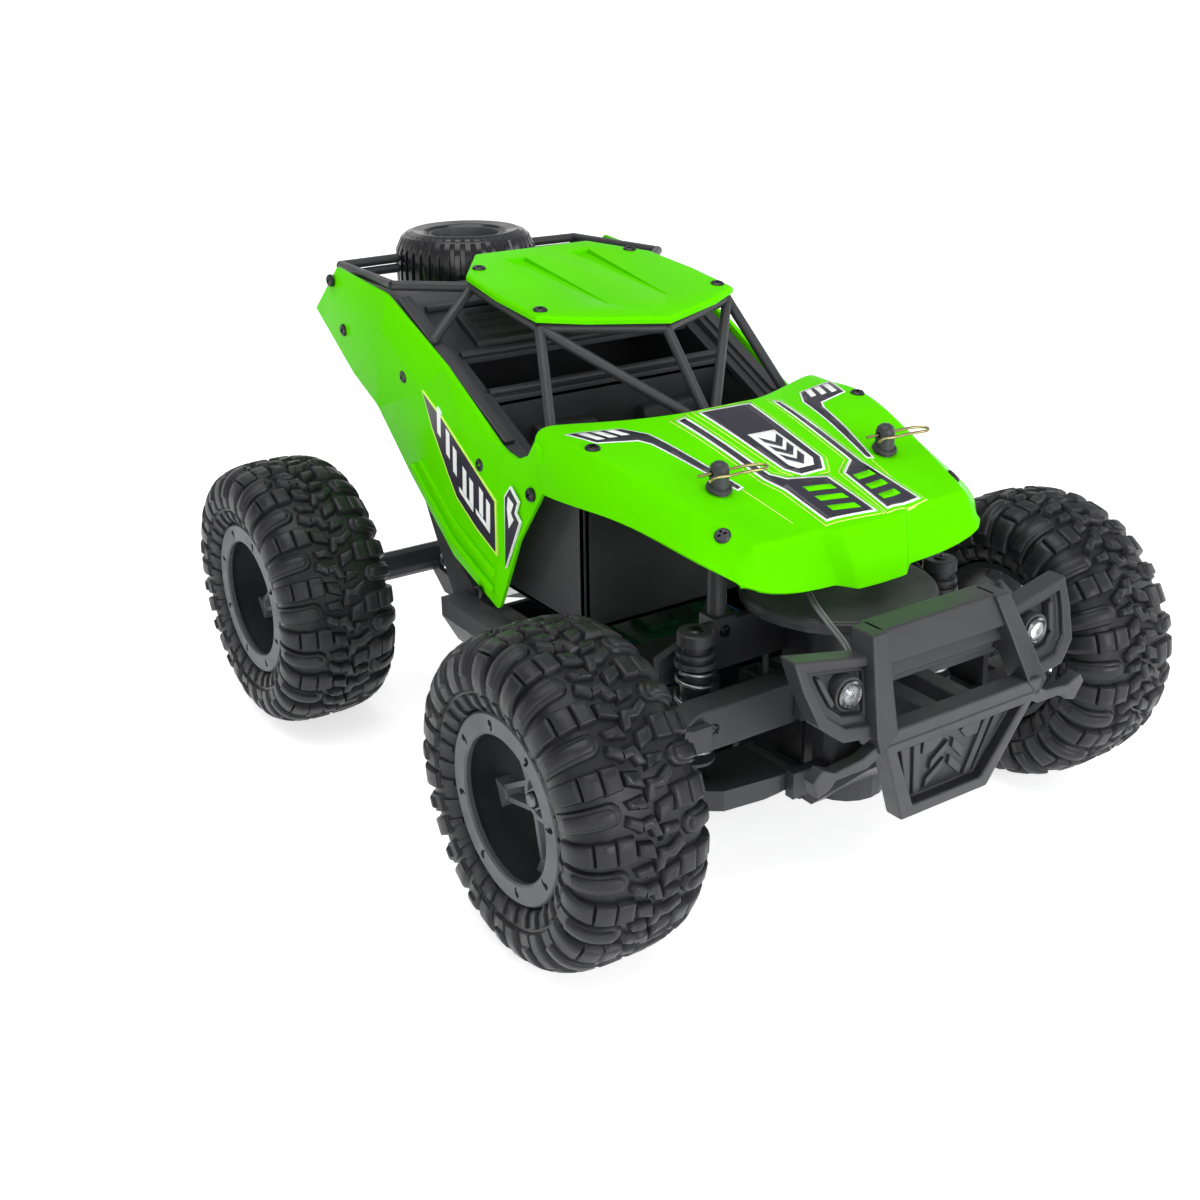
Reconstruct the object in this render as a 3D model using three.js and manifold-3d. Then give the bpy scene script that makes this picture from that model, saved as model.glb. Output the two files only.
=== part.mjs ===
// Remote control desert buggy: wheels, suspension, steering, gear train, chassis, cage and body.
// Units are millimetres. +X is the car's left, -Y its front, +Z up, and the ground is z = 0.
// Parts are placed from the front axle: y = 0 there, and the whole group is moved at the end.
import * as THREE from 'three';
import { mergeVertices } from 'three/addons/utils/BufferGeometryUtils.js';
import Module from 'manifold-3d';

const wasm = await Module();
wasm.setup();

// ---------- driving dimensions ----------
const TYRE_RADIUS = 45;
const TYRE_HALF_WIDTH = 20.25;
const HALF_TRACK = 87.75;
const WHEELBASE = 168;
const FRONT_AXLE_Y = -83;
const AXLE_Z = TYRE_RADIUS;
const GAP = 0.3;                 // between pieces that touch
const PIN = 1.2;                 // radius of the suspension pins
const PIN_BORE = 1.5;            // radius of the eyes that turn on them
const AXLE_RADIUS = 2.3;
const SIDES = [['left', 1], ['right', -1]];

// suspension links: every front link is LINK long, so the hub carrier stays upright
const LINK_INNER_X = 20;
const LINK = 36;
const LINK_OUTER_X = LINK_INNER_X + LINK;
const LOWER_LINK_Z = 33;
const UPPER_LINK_Z = 58;
const KINGPIN_X = 66;
const TIE_ROD_Y = 16;
const HORN_Y = 30;
const HORN_PIN_X = 6;

// gear train
const MODULE = 1;
const AXLE_GEAR_TEETH = 30;
const LAYSHAFT_SMALL_TEETH = 12;
const LAYSHAFT_BIG_TEETH = 30;
const PINION_TEETH = 10;
const PINION_MODULE = 0.8;
const LAYSHAFT_RISE = THREE.MathUtils.degToRad(20);

// ---------- materials ----------
const plastic = (color, roughness) => new THREE.MeshStandardMaterial({ color, roughness, metalness: 0 });
const metal = (color, roughness) => new THREE.MeshStandardMaterial({ color, roughness, metalness: 1 });
const GREEN = plastic(0x52e400, 0.2);
const BLACK = plastic(0x17181a, 0.5);
const DARK_GREY = plastic(0x2b2c2f, 0.55);
const WHEEL_GREY = plastic(0x4a4c50, 0.5);
const RUBBER = plastic(0x1b1c1e, 0.85);
const GLOSS_BLACK = plastic(0x101113, 0.25);
const NYLON = plastic(0xe6e3d6, 0.5);
const BATTERY_WRAP = plastic(0x2a4fa8, 0.4);
const BOARD_GREEN = plastic(0x1d5c33, 0.5);
const CLEAR = plastic(0xdfe6ea, 0.1);
const LEAD_GREY = plastic(0x55565a, 0.5);
const STEEL = metal(0xb4b6b8, 0.35);
const SPRING_STEEL = metal(0x8d8f92, 0.35);
const BRASS = metal(0xb99a55, 0.3);

// ---------- shapes ----------
const X_AXIS = new THREE.Vector3(1, 0, 0);
const Y_AXIS = new THREE.Vector3(0, 1, 0);
const Z_AXIS = new THREE.Vector3(0, 0, 1);

function solid(geometry) {
  const bare = geometry.clone();
  bare.deleteAttribute('normal');
  bare.deleteAttribute('uv');
  const merged = mergeVertices(bare, 1e-4);
  const triVerts = [];
  const index = merged.index.array;
  for (let i = 0; i < index.length; i += 3) {
    const [a, b, c] = index.slice(i, i + 3);
    if (a !== b && b !== c && c !== a) triVerts.push(a, b, c);
  }
  const vertProperties = new Float32Array(merged.attributes.position.array);
  return new wasm.Manifold(new wasm.Mesh({ numProp: 3, vertProperties, triVerts: new Uint32Array(triVerts) }));
}

function surface(manifold) {
  const mesh = manifold.getMesh();
  const geometry = new THREE.BufferGeometry();
  geometry.setAttribute('position', new THREE.BufferAttribute(new Float32Array(mesh.vertProperties), 3));
  geometry.setIndex(new THREE.BufferAttribute(new Uint32Array(mesh.triVerts), 1));
  return geometry;
}

function join(...geometries) {
  return surface(geometries.map(solid).reduce((whole, next) => whole.add(next)));
}

function cut(geometry, ...tools) {
  return surface(tools.map(solid).reduce((whole, tool) => whole.subtract(tool), solid(geometry)));
}

// the same shape on the other side of the car
function mirrored(geometry) {
  const copy = geometry.index ? geometry.toNonIndexed() : geometry.clone();
  copy.deleteAttribute('normal');
  copy.deleteAttribute('uv');
  const position = copy.attributes.position;
  for (let corner = 0; corner < position.count; corner += 3) {
    const points = [0, 1, 2].map((i) => new THREE.Vector3().fromBufferAttribute(position, corner + i));
    points.reverse().forEach((point, i) => position.setXYZ(corner + i, -point.x, point.y, point.z));
  }
  return mergeVertices(copy, 1e-4);
}

const onSide = (geometry, side) => (side > 0 ? geometry : mirrored(geometry));
const bothSides = (geometry) => [geometry, mirrored(geometry)];

// a box from its lowest to its highest corner
function block(x0, x1, y0, y1, z0, z1) {
  const geometry = new THREE.BoxGeometry(x1 - x0, y1 - y0, z1 - z0);
  return geometry.translate((x0 + x1) / 2, (y0 + y1) / 2, (z0 + z1) / 2);
}

// a straight round bar between two points
function rod(from, to, radius, sides = 12) {
  const start = new THREE.Vector3(...from);
  const along = new THREE.Vector3(...to).sub(start);
  const geometry = new THREE.CylinderGeometry(radius, radius, along.length(), sides);
  geometry.applyQuaternion(new THREE.Quaternion().setFromUnitVectors(Y_AXIS, along.clone().normalize()));
  return geometry.translate(...start.addScaledVector(along, 0.5).toArray());
}

// plates: an outline of [x, y], [x, z] or [y, z] points, and the span it fills across
function plate(outline, span, u, v, w) {
  const shape = new THREE.Shape(outline.map(([a, b]) => new THREE.Vector2(a, b)));
  const geometry = new THREE.ExtrudeGeometry(shape, { depth: span, bevelEnabled: false });
  return geometry.applyMatrix4(new THREE.Matrix4().makeBasis(u, v, w));
}
const plateXY = (outline, z0, z1) => plate(outline, z1 - z0, X_AXIS, Y_AXIS, Z_AXIS).translate(0, 0, z0);
const plateYZ = (outline, x0, x1) => plate(outline, x1 - x0, Y_AXIS, Z_AXIS, X_AXIS).translate(x0, 0, 0);
function plateXZ(outline, y0, y1) {
  return plate(outline, y1 - y0, X_AXIS, Z_AXIS, Y_AXIS.clone().negate()).translate(0, y1, 0);
}

// a turned shape: points are [radius, distance along the axis], in either order
function turned(profile, sides, axis) {
  const points = profile.map(([r, a]) => new THREE.Vector2(r, a));
  if (THREE.ShapeUtils.area(points) < 0) points.reverse();
  const geometry = new THREE.LatheGeometry(points, sides);
  return geometry.applyQuaternion(new THREE.Quaternion().setFromUnitVectors(Y_AXIS, axis));
}
const closed = (profile) => [...profile, profile[0]];
const ring = (inner, outer, a0, a1) => closed([[inner, a0], [outer, a0], [outer, a1], [inner, a1]]);

// a sheet of even thickness behind a grid of surface points
function sheet(rows, thickness) {
  const height = rows.length;
  const width = rows[0].length;
  const at = (r, c) => rows[Math.min(Math.max(r, 0), height - 1)][Math.min(Math.max(c, 0), width - 1)];
  const outer = [];
  const inner = [];
  for (let r = 0; r < height; r += 1) {
    for (let c = 0; c < width; c += 1) {
      const across = at(r, c + 1).clone().sub(at(r, c - 1));
      const down = at(r + 1, c).clone().sub(at(r - 1, c));
      const normal = down.cross(across).normalize();
      outer.push(...at(r, c).toArray());
      inner.push(...at(r, c).clone().addScaledVector(normal, -thickness).toArray());
    }
  }
  const index = [];
  const quad = (a, b, c, d) => index.push(a, b, c, a, c, d);
  const under = height * width;
  for (let r = 0; r + 1 < height; r += 1) {
    for (let c = 0; c + 1 < width; c += 1) {
      const a = r * width + c;
      quad(a, a + width, a + width + 1, a + 1);
      quad(under + a, under + a + 1, under + a + width + 1, under + a + width);
    }
  }
  const rim = [];
  for (let c = 0; c + 1 < width; c += 1) rim.push(c);
  for (let r = 0; r + 1 < height; r += 1) rim.push(r * width + width - 1);
  for (let c = width - 1; c > 0; c -= 1) rim.push((height - 1) * width + c);
  for (let r = height - 1; r > 0; r -= 1) rim.push(r * width);
  rim.forEach((a, i) => {
    const b = rim[(i + 1) % rim.length];
    quad(a, b, under + b, under + a);
  });
  const geometry = new THREE.BufferGeometry();
  geometry.setAttribute('position', new THREE.Float32BufferAttribute([...outer, ...inner], 3));
  geometry.setIndex(index);
  return geometry;
}

const group = new THREE.Group();
group.position.y = FRONT_AXLE_Y;
function add(name, geometry, material, position = [0, 0, 0]) {
  const flat = geometry.index ? geometry.toNonIndexed() : geometry;
  flat.computeVertexNormals();
  const mesh = new THREE.Mesh(flat, material);
  mesh.name = name;
  mesh.position.set(...position);
  group.add(mesh);
}

// ---------- wheels ----------
// Wheel shapes have the axle along X and the outboard face towards +X.
const WHEEL_SIDES = 24;
const RIM_SIDES = 20;
const RIM_RADIUS = 25.6;
const RIM_INNER_RADIUS = 23.3;
const RIM_FACE = 14.1;
const RIM_BACK = -15;
const RING_OUTER_RADIUS = 25.8;
const RING_INNER_RADIUS = 19.5;
const RING_BACK = RIM_FACE + GAP;
const RING_FACE = 16.4;
const HUB_RADIUS = 6;
const HUB_BACK = -6;
const HUB_FACE = 4;
const SPOKES = 5;
const SPOKE_SPREAD = THREE.MathUtils.degToRad(8);
const AXLE_END_X = HALF_TRACK + HUB_FACE + 4;

function tyre() {
  const bead = RIM_RADIUS + 0.5;
  const outside = [[bead, 16.2], [33.5, 19.9], [39, TYRE_HALF_WIDTH], [43.4, 16.5], [TYRE_RADIUS, 8]];
  const inside = [[41, 9], [36.5, 16.2], [bead, 12.6]];
  const opposite = (half) => half.map(([r, a]) => [r, -a]).reverse();
  const profile = [...outside, ...opposite(outside), ...opposite(inside), ...inside];
  return turned(closed(profile), WHEEL_SIDES, X_AXIS);
}

function rim() {
  const barrel = turned(closed([
    [RIM_INNER_RADIUS, RIM_BACK], [RIM_RADIUS, RIM_BACK], [RIM_RADIUS, RIM_FACE],
    [RING_INNER_RADIUS, RIM_FACE], [RING_INNER_RADIUS, RIM_FACE - 2], [RIM_INNER_RADIUS, RIM_FACE - 3.5],
  ]), RIM_SIDES, X_AXIS);
  const hub = rod([HUB_BACK, 0, 0], [HUB_FACE, 0, 0], HUB_RADIUS, 12);
  const spokes = [];
  for (let spoke = 0; spoke < SPOKES; spoke += 1) {
    for (const twin of [-1, 1]) {
      const bar = block(-3, 1, -1.3, 1.3, HUB_RADIUS - 2, RIM_INNER_RADIUS + 0.6);
      const angle = (spoke / SPOKES) * 2 * Math.PI + twin * SPOKE_SPREAD;
      spokes.push(bar.rotateX(angle));
    }
  }
  const bore = rod([HUB_BACK - 1, 0, 0], [HUB_FACE + 1, 0, 0], AXLE_RADIUS + GAP, 12);
  return cut(join(barrel, hub, ...spokes), bore);
}

function beadlockRing() {
  return turned(ring(RING_INNER_RADIUS, RING_OUTER_RADIUS, RING_BACK, RING_FACE), RIM_SIDES, X_AXIS);
}

for (const [end, axleY] of [['front', 0], ['rear', WHEELBASE]]) {
  for (const [name, side] of SIDES) {
    const place = [side * HALF_TRACK, axleY, AXLE_Z];
    add(`tyre_${end}_${name}`, onSide(tyre(), side), RUBBER, place);
    add(`rim_${end}_${name}`, onSide(rim(), side), BLACK, place);
    add(`beadlock_ring_${end}_${name}`, onSide(beadlockRing(), side), WHEEL_GREY, place);
  }
}

// ---------- front suspension and steering, drawn for the left side ----------
const EYE = 3.3;
const alongY = (x, z, y0, y1, radius, sides = 12) => rod([x, y0, z], [x, y1, z], radius, sides);
const SHOCK_X = 45;
const SHOCK_Y = -1;
const LOWER_ARM_SPAN = [-14, 6];
const LOWER_EYE_SPAN = [-6, 6];
const UPPER_ARM_SPAN = [-16, -7.5];

function lowerArm() {
  const tipX = LINK_OUTER_X + EYE;
  const rootX = LINK_INNER_X - EYE;
  const [front, back] = LOWER_ARM_SPAN;
  const outline = [
    [rootX, front], [LINK_INNER_X + 5, front], [43, -12], [51, -6], [tipX, -6], [tipX, 6], [LINK_INNER_X, back], [rootX, back],
  ];
  const bowed = [
    [rootX, LOWER_LINK_Z + 2.6], [rootX, LOWER_LINK_Z - 1.5], [30, LOWER_LINK_Z - 3.6], [48, LOWER_LINK_Z - 3.6],
    [tipX, LOWER_LINK_Z - 1.5], [tipX, LOWER_LINK_Z + 2.6],
  ];
  const body = surface(solid(plateXY(outline, 20, 45)).intersect(solid(plateXZ(bowed, front, back))));
  const innerEye = alongY(LINK_INNER_X, LOWER_LINK_Z, front, back, EYE);
  const outerEye = alongY(LINK_OUTER_X, LOWER_LINK_Z, ...LOWER_EYE_SPAN, EYE);
  const bores = [LINK_INNER_X, LINK_OUTER_X].map((x) => alongY(x, LOWER_LINK_Z, -20, 20, PIN_BORE));
  const window = block(SHOCK_X - 3.5, SHOCK_X + 3.5, SHOCK_Y - 3.4, SHOCK_Y + 3.4, 20, 45);
  const shockPin = alongY(SHOCK_X, LOWER_LINK_Z, SHOCK_Y - 4.5, SHOCK_Y + 4.5, 1, 8);
  return join(cut(join(body, innerEye, outerEye), ...bores, window), shockPin);
}

function upperArm() {
  const [front, back] = UPPER_ARM_SPAN;
  const inner = LINK_INNER_X - EYE;
  const outer = LINK_OUTER_X + EYE;
  const outline = [
    [inner, UPPER_LINK_Z - 3], [inner + 6, UPPER_LINK_Z - 6], [outer - 5, UPPER_LINK_Z - 6], [outer, UPPER_LINK_Z - 3],
    [outer, UPPER_LINK_Z + 3], [outer - 5, UPPER_LINK_Z + 6], [inner + 9, UPPER_LINK_Z + 6], [inner, UPPER_LINK_Z + 3],
  ];
  const bores = [LINK_INNER_X, LINK_OUTER_X].map((x) => alongY(x, UPPER_LINK_Z, -20, 20, PIN_BORE));
  return cut(plateXZ(outline, front, back), ...bores);
}

const CARRIER_WALL = [LINK_OUTER_X + EYE + 0.4, KINGPIN_X - 4.2];
const KINGPIN_SPAN = [38.5, 52.5];

function hubCarrier() {
  const [wallIn, wallOut] = CARRIER_WALL;
  const wall = plateYZ([
    [-19, 62], [-4, 62], [3, 56], [3, 38.5], [8.8, 37.5], [8.8, 29.5], [-8.8, 29.5], [-8.8, 38], [-8, 48], [-19, 53],
  ], wallIn, wallOut);
  const lug = (y0, y1, z) => block(LINK_OUTER_X - 3, wallOut, y0, y1, z - 3.5, z + 3.5);
  const lowerLugs = [lug(-8.8, -6.4, LOWER_LINK_Z), lug(6.4, 8.8, LOWER_LINK_Z)];
  const upperLugs = [lug(-19, -16.4, UPPER_LINK_Z), lug(-7.1, -4.5, UPPER_LINK_Z)];
  const lowerPin = alongY(LINK_OUTER_X, LOWER_LINK_Z, -8, 8, PIN, 8);
  const upperPin = alongY(LINK_OUTER_X, UPPER_LINK_Z, -18, -5, PIN, 8);
  const [low, high] = KINGPIN_SPAN;
  const shelf = (z0, z1) => block(wallIn, KINGPIN_X + 3.5, -5, 3, z0, z1);
  const kingpin = rod([KINGPIN_X, 0, low - 1], [KINGPIN_X, 0, high + 1], 1.3, 8);
  return join(wall, ...lowerLugs, ...upperLugs, lowerPin, upperPin, shelf(low - 3.5, low), shelf(high, high + 3.5), kingpin);
}

function knuckle() {
  const [low, high] = KINGPIN_SPAN;
  const post = rod([KINGPIN_X, 0, low + GAP], [KINGPIN_X, 0, high - GAP], 3.8, 12);
  const boss = rod([KINGPIN_X + 3, 0, AXLE_Z], [KINGPIN_X + 7, 0, AXLE_Z], 4.6, 12);
  const stub = rod([KINGPIN_X + 6, 0, AXLE_Z], [AXLE_END_X, 0, AXLE_Z], AXLE_RADIUS, 12);
  const steeringArm = block(KINGPIN_X - 2, KINGPIN_X + 2, 3, TIE_ROD_Y + 2, 42, 45.6);
  const bore = rod([KINGPIN_X, 0, 30], [KINGPIN_X, 0, 60], 1.7, 8);
  const pin = rod([KINGPIN_X, TIE_ROD_Y, 45], [KINGPIN_X, TIE_ROD_Y, 50.5], 1, 8);
  return join(cut(join(post, boss, steeringArm), bore), stub, pin);
}

const TIE_ROD_Z = [46.4, 49.2];
const EYE_WALL = 1.6;
const HORN_Z = [38.5, 41];

function tieRod() {
  const [low, high] = TIE_ROD_Z;
  // each eye has a slot, wide and deep enough for the arc of the pin inside it
  const slottedEye = (x, halfX, y0, y1) => cut(
    block(x - halfX - EYE_WALL, x + halfX + EYE_WALL, y0 - EYE_WALL, y1 + EYE_WALL, low, high),
    block(x - halfX, x + halfX, y0, y1, low - 1, high + 1),
  );
  const eyes = [
    slottedEye(HORN_PIN_X, 2.3, TIE_ROD_Y - 2.6, TIE_ROD_Y + 6),
    slottedEye(KINGPIN_X, 1.6, TIE_ROD_Y - 3.4, TIE_ROD_Y + 2.4),
  ];
  const middle = (low + high) / 2;
  return join(...eyes, rod([HORN_PIN_X + 3, TIE_ROD_Y, middle], [KINGPIN_X - 2.4, TIE_ROD_Y, middle], PIN, 8));
}

function servoHorn() {
  const [low, high] = HORN_Z;
  const arm = plateXY([[-4, HORN_Y + 2], [-8, TIE_ROD_Y - 2], [8, TIE_ROD_Y - 2], [4, HORN_Y + 2]], low, high);
  const hub = rod([0, HORN_Y, low], [0, HORN_Y, high + 1], 4.2, 12);
  const pins = [-1, 1].map((side) => rod([side * HORN_PIN_X, TIE_ROD_Y, low + 1], [side * HORN_PIN_X, TIE_ROD_Y, 56], 1, 8));
  return join(arm, hub, ...pins);
}

function steeringServo() {
  const floor = 27 + GAP;
  const body = block(-8, 8, 25, 48, floor, HORN_Z[0] - 1.2);
  const shaft = rod([0, HORN_Y, floor], [0, HORN_Y, HORN_Z[0] - GAP], 2, 12);
  return join(body, shaft);
}

// ---------- shock absorbers: a rod with a spring seat, a body above it and a coil between them ----------
const SPRING_RADIUS = 5;
const WIRE_RADIUS = 0.6;
const SPRING_TURNS = 5;
const SEAT_RADIUS = 5.7;
const SEAT_RISE = 8;             // the seat above the foot's pin
const SEAT_THICKNESS = 1.4;
const SHOCK_SIDES = 14;

function shockRod(footZ, topZ, footAxis, footHalf) {
  const seat = footZ + SEAT_RISE;
  const reach = topZ - 14.5;
  const shaft = rod([0, 0, footZ + 1.8], [0, 0, reach], 1.3, 8);
  const disc = rod([0, 0, seat], [0, 0, seat + SEAT_THICKNESS], SEAT_RADIUS, SHOCK_SIDES);
  const end = footAxis.clone().multiplyScalar(footHalf);
  const foot = rod(end.clone().negate().toArray(), end.toArray(), 2.3, 10).translate(0, 0, footZ);
  const through = footAxis.clone().multiplyScalar(footHalf + 1);
  const bore = rod(through.clone().negate().toArray(), through.toArray(), 1.3, 8).translate(0, 0, footZ);
  return cut(join(shaft, disc, foot), bore);
}

function shockBody(bottomZ, topZ) {
  const flange = topZ - 9.8;
  return turned([
    [0, flange + 0.8], [2.2, flange + 0.8], [2.2, bottomZ], [4, bottomZ], [4, flange], [SEAT_RADIUS, flange],
    [SEAT_RADIUS, flange + 1.7], [4, flange + 1.7], [4, topZ - 3.5], [SPRING_RADIUS, topZ - 3.5], [SPRING_RADIUS, topZ],
    [0, topZ],
  ], SHOCK_SIDES, Z_AXIS);
}

class Coil extends THREE.Curve {
  constructor(bottom, top) {
    super();
    this.bottom = bottom;
    this.top = top;
  }

  getPoint(t, target = new THREE.Vector3()) {
    const angle = t * SPRING_TURNS * 2 * Math.PI;
    const z = this.bottom + t * (this.top - this.bottom);
    return target.set(SPRING_RADIUS * Math.cos(angle), SPRING_RADIUS * Math.sin(angle), z);
  }
}

function roundWire(curve, radius, steps, sides) {
  const section = new THREE.Shape();
  for (let i = 0; i < sides; i += 1) {
    const angle = (i / sides) * 2 * Math.PI;
    const point = [radius * Math.cos(angle), radius * Math.sin(angle)];
    if (i === 0) section.moveTo(...point);
    else section.lineTo(...point);
  }
  return new THREE.ExtrudeGeometry(section, { steps, extrudePath: curve, bevelEnabled: false });
}

function spring(footZ, topZ) {
  const clear = WIRE_RADIUS + GAP;
  const coil = new Coil(footZ + SEAT_RISE + SEAT_THICKNESS + clear, topZ - 9.8 - clear);
  return roundWire(coil, WIRE_RADIUS, SPRING_TURNS * 7, 4);
}

const FRONT_SHOCK_TOP = 79.5;
const REAR_SHOCK_TOP = 98;
const REAR_SHOCK_X = 32;
const REAR_SHOCK_Y = WHEELBASE - 13;
const TRAIL_PIVOT_Y = WHEELBASE - 56;
const TRAIL_PIVOT_Z = 38;

const corners = [
  ['front', SHOCK_X, SHOCK_Y, LOWER_LINK_Z, FRONT_SHOCK_TOP, Y_AXIS, 2.3],
  ['rear', REAR_SHOCK_X, REAR_SHOCK_Y, TRAIL_PIVOT_Z, REAR_SHOCK_TOP, X_AXIS, 1.7],
];
for (const [end, x, y, footZ, topZ, footAxis, footHalf] of corners) {
  for (const [name, side] of SIDES) {
    const place = [side * x, y, 0];
    add(`shock_body_${end}_${name}`, shockBody(topZ - 24, topZ), BLACK, place);
    add(`shock_rod_${end}_${name}`, shockRod(footZ, topZ, footAxis, footHalf), DARK_GREY, place);
    add(`shock_spring_${end}_${name}`, spring(footZ, topZ), SPRING_STEEL, place);
  }
}
for (const [name, side] of SIDES) {
  add(`lower_arm_${name}`, onSide(lowerArm(), side), BLACK);
  add(`upper_arm_${name}`, onSide(upperArm(), side), BLACK);
  add(`hub_carrier_${name}`, onSide(hubCarrier(), side), BLACK);
  add(`steering_knuckle_${name}`, onSide(knuckle(), side), DARK_GREY);
  add(`tie_rod_${name}`, onSide(tieRod(), side), BLACK);
}
add('servo_horn', servoHorn(), NYLON);
add('steering_servo', steeringServo(), DARK_GREY);

// ---------- gear train ----------
// Each gear turns about X, with its teeth drawn in the Y-Z plane.
const CASE_HALF = 14;
const COVER_HALF = 11;
const CASE_WALL = 1.6;
const CASE_SEAM = [0, GAP];
const BIG_GEAR_X = [-9, -5];
const SMALL_GEAR_X = [-3, 4];
const pitchRadius = (teeth, module) => (teeth * module) / 2;
const LAYSHAFT_DISTANCE = pitchRadius(AXLE_GEAR_TEETH + LAYSHAFT_SMALL_TEETH, MODULE);
const PINION_DISTANCE = pitchRadius(LAYSHAFT_BIG_TEETH + PINION_TEETH, PINION_MODULE);
const LAYSHAFT = [
  0, WHEELBASE - LAYSHAFT_DISTANCE * Math.cos(LAYSHAFT_RISE), AXLE_Z + LAYSHAFT_DISTANCE * Math.sin(LAYSHAFT_RISE),
];
const MOTOR_AXIS = [0, LAYSHAFT[1] - PINION_DISTANCE, LAYSHAFT[2]];
const LAYSHAFT_RADIUS = 1.5;
const MOTOR_RADIUS = 12;
const MOTOR_LENGTH = 25;

// phase is the angle, from +Y towards +Z, at which one tooth points
function gear(teeth, module, phase, [x0, x1]) {
  const pitch = (2 * Math.PI) / teeth;
  const root = pitchRadius(teeth, module) - 1.15 * module;
  const tip = pitchRadius(teeth, module) + 0.85 * module;
  const outline = [];
  for (let tooth = 0; tooth < teeth; tooth += 1) {
    const middle = phase + tooth * pitch;
    for (const [radius, share] of [[root, -0.26], [tip, -0.11], [tip, 0.11], [root, 0.26]]) {
      const angle = middle + share * pitch;
      outline.push([radius * Math.cos(angle), radius * Math.sin(angle)]);
    }
  }
  return plateYZ(outline, x0, x1);
}

// the axle shaft and the gear moulded onto it
function rearAxle() {
  const wheel = gear(AXLE_GEAR_TEETH, MODULE, Math.PI - LAYSHAFT_RISE, SMALL_GEAR_X);
  return join(wheel, rod([-AXLE_END_X, 0, 0], [AXLE_END_X, 0, 0], AXLE_RADIUS, 12));
}

function layshaftGear() {
  const smallPhase = -LAYSHAFT_RISE + Math.PI / LAYSHAFT_SMALL_TEETH;
  const small = gear(LAYSHAFT_SMALL_TEETH, MODULE, smallPhase, [BIG_GEAR_X[1] - 1, SMALL_GEAR_X[1]]);
  const big = gear(LAYSHAFT_BIG_TEETH, PINION_MODULE, Math.PI, BIG_GEAR_X);
  const shaft = rod([1 - CASE_HALF, 0, 0], [COVER_HALF - 1, 0, 0], LAYSHAFT_RADIUS, 8);
  return join(big, small, shaft);
}

function motorPinion() {
  const teeth = gear(PINION_TEETH, PINION_MODULE, Math.PI / PINION_TEETH, [BIG_GEAR_X[0] - 0.5, BIG_GEAR_X[1] + 0.5]);
  return join(teeth, rod([-CASE_HALF, 0, 0], [BIG_GEAR_X[1] + 1, 0, 0], 1, 8));
}

const CASE_OUTLINE = [
  [108, 34.2], [136, 34.2], [160, 26.5], [178, 27.5], [187.5, 38], [187.5, 50], [178, 62], [156, 69], [140, 68.5],
  [124.5, 60], [124.5, 44], [108, 41.8],
];
const CASE_HOLLOW = [
  [141, 36.6], [160.3, 28.2], [177.2, 29.2], [185.8, 38.6], [185.8, 49.4], [176.8, 60.6], [155.5, 67.3], [140.5, 66.8],
  [126.2, 59], [126.2, 45.5],
];

// one half of the case, with its axle tube and shock ears, from the seam to its outer wall
function caseHalf(seamX, outerX) {
  const side = Math.sign(outerX);
  const span = [seamX, outerX].sort((a, b) => a - b);
  const hollowSpan = [seamX - side, outerX - side * CASE_WALL].sort((a, b) => a - b);
  const shell = cut(plateYZ(CASE_OUTLINE, ...span), plateYZ(CASE_HOLLOW, ...hollowSpan));
  const tube = rod([outerX - side * 0.5, WHEELBASE, AXLE_Z], [side * 58, WHEELBASE, AXLE_Z], 5, 12);
  const earOutline = [
    [151.5, 34.5], [158, 34.5], [166, 40.5], [168, 46], [165, 47], [160.5, 42.5], [151.5, 41.5],
  ];
  const ears = [28.2, 34].map((x) => (side > 0 ? plateYZ(earOutline, x, x + 1.8) : plateYZ(earOutline, -x - 1.8, -x)));
  const shockPin = rod([side * 28.5, REAR_SHOCK_Y, TRAIL_PIVOT_Z], [side * 35.5, REAR_SHOCK_Y, TRAIL_PIVOT_Z], 1, 8);
  const across = (y, z, radius) => rod([-80, y, z], [80, y, z], radius, 12);
  const bores = [
    across(WHEELBASE, AXLE_Z, AXLE_RADIUS + 0.5),
    across(LAYSHAFT[1], LAYSHAFT[2], LAYSHAFT_RADIUS + GAP),
    across(TRAIL_PIVOT_Y, TRAIL_PIVOT_Z, PIN_BORE),
  ];
  if (side < 0) bores.push(across(MOTOR_AXIS[1], MOTOR_AXIS[2], 2));
  return join(cut(join(shell, tube, ...ears), ...bores), shockPin);
}

function motor() {
  const start = -CASE_HALF - GAP - MOTOR_LENGTH;
  const can = rod([start, 0, 0], [-CASE_HALF - GAP, 0, 0], MOTOR_RADIUS, 20);
  const endBell = rod([start - 2.5, 0, 0], [start + 1, 0, 0], 5, 12);
  return join(can, endBell);
}

add('gearbox_case', caseHalf(CASE_SEAM[0], -CASE_HALF), BLACK);
add('gearbox_cover', caseHalf(CASE_SEAM[1], COVER_HALF), BLACK);
add('layshaft_gear', layshaftGear(), NYLON, LAYSHAFT);
add('motor_pinion', motorPinion(), BRASS, MOTOR_AXIS);
add('drive_motor', motor(), STEEL, MOTOR_AXIS);
add('rear_axle', rearAxle(), STEEL, [0, WHEELBASE, AXLE_Z]);

// ---------- chassis ----------
const TUB = { halfWidth: 44, front: 22, back: 104, floor: 24, rim: 50, wall: 2, base: 3 };
const COLUMN = { radius: 12, y: -12, top: 80.5 };
const NOSE_COVER = { radius: 27, y: -6, top: 83.5 };
const POST = { x: 29.8, y: 9.5, radius: 2.6, top: 120, holeZ: 117.3 };
const BATTERY_OPENING = { halfX: 26, y0: 50, y1: 98 };
const SWITCH = { x: 33, y: 60, travel: 4 };

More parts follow.
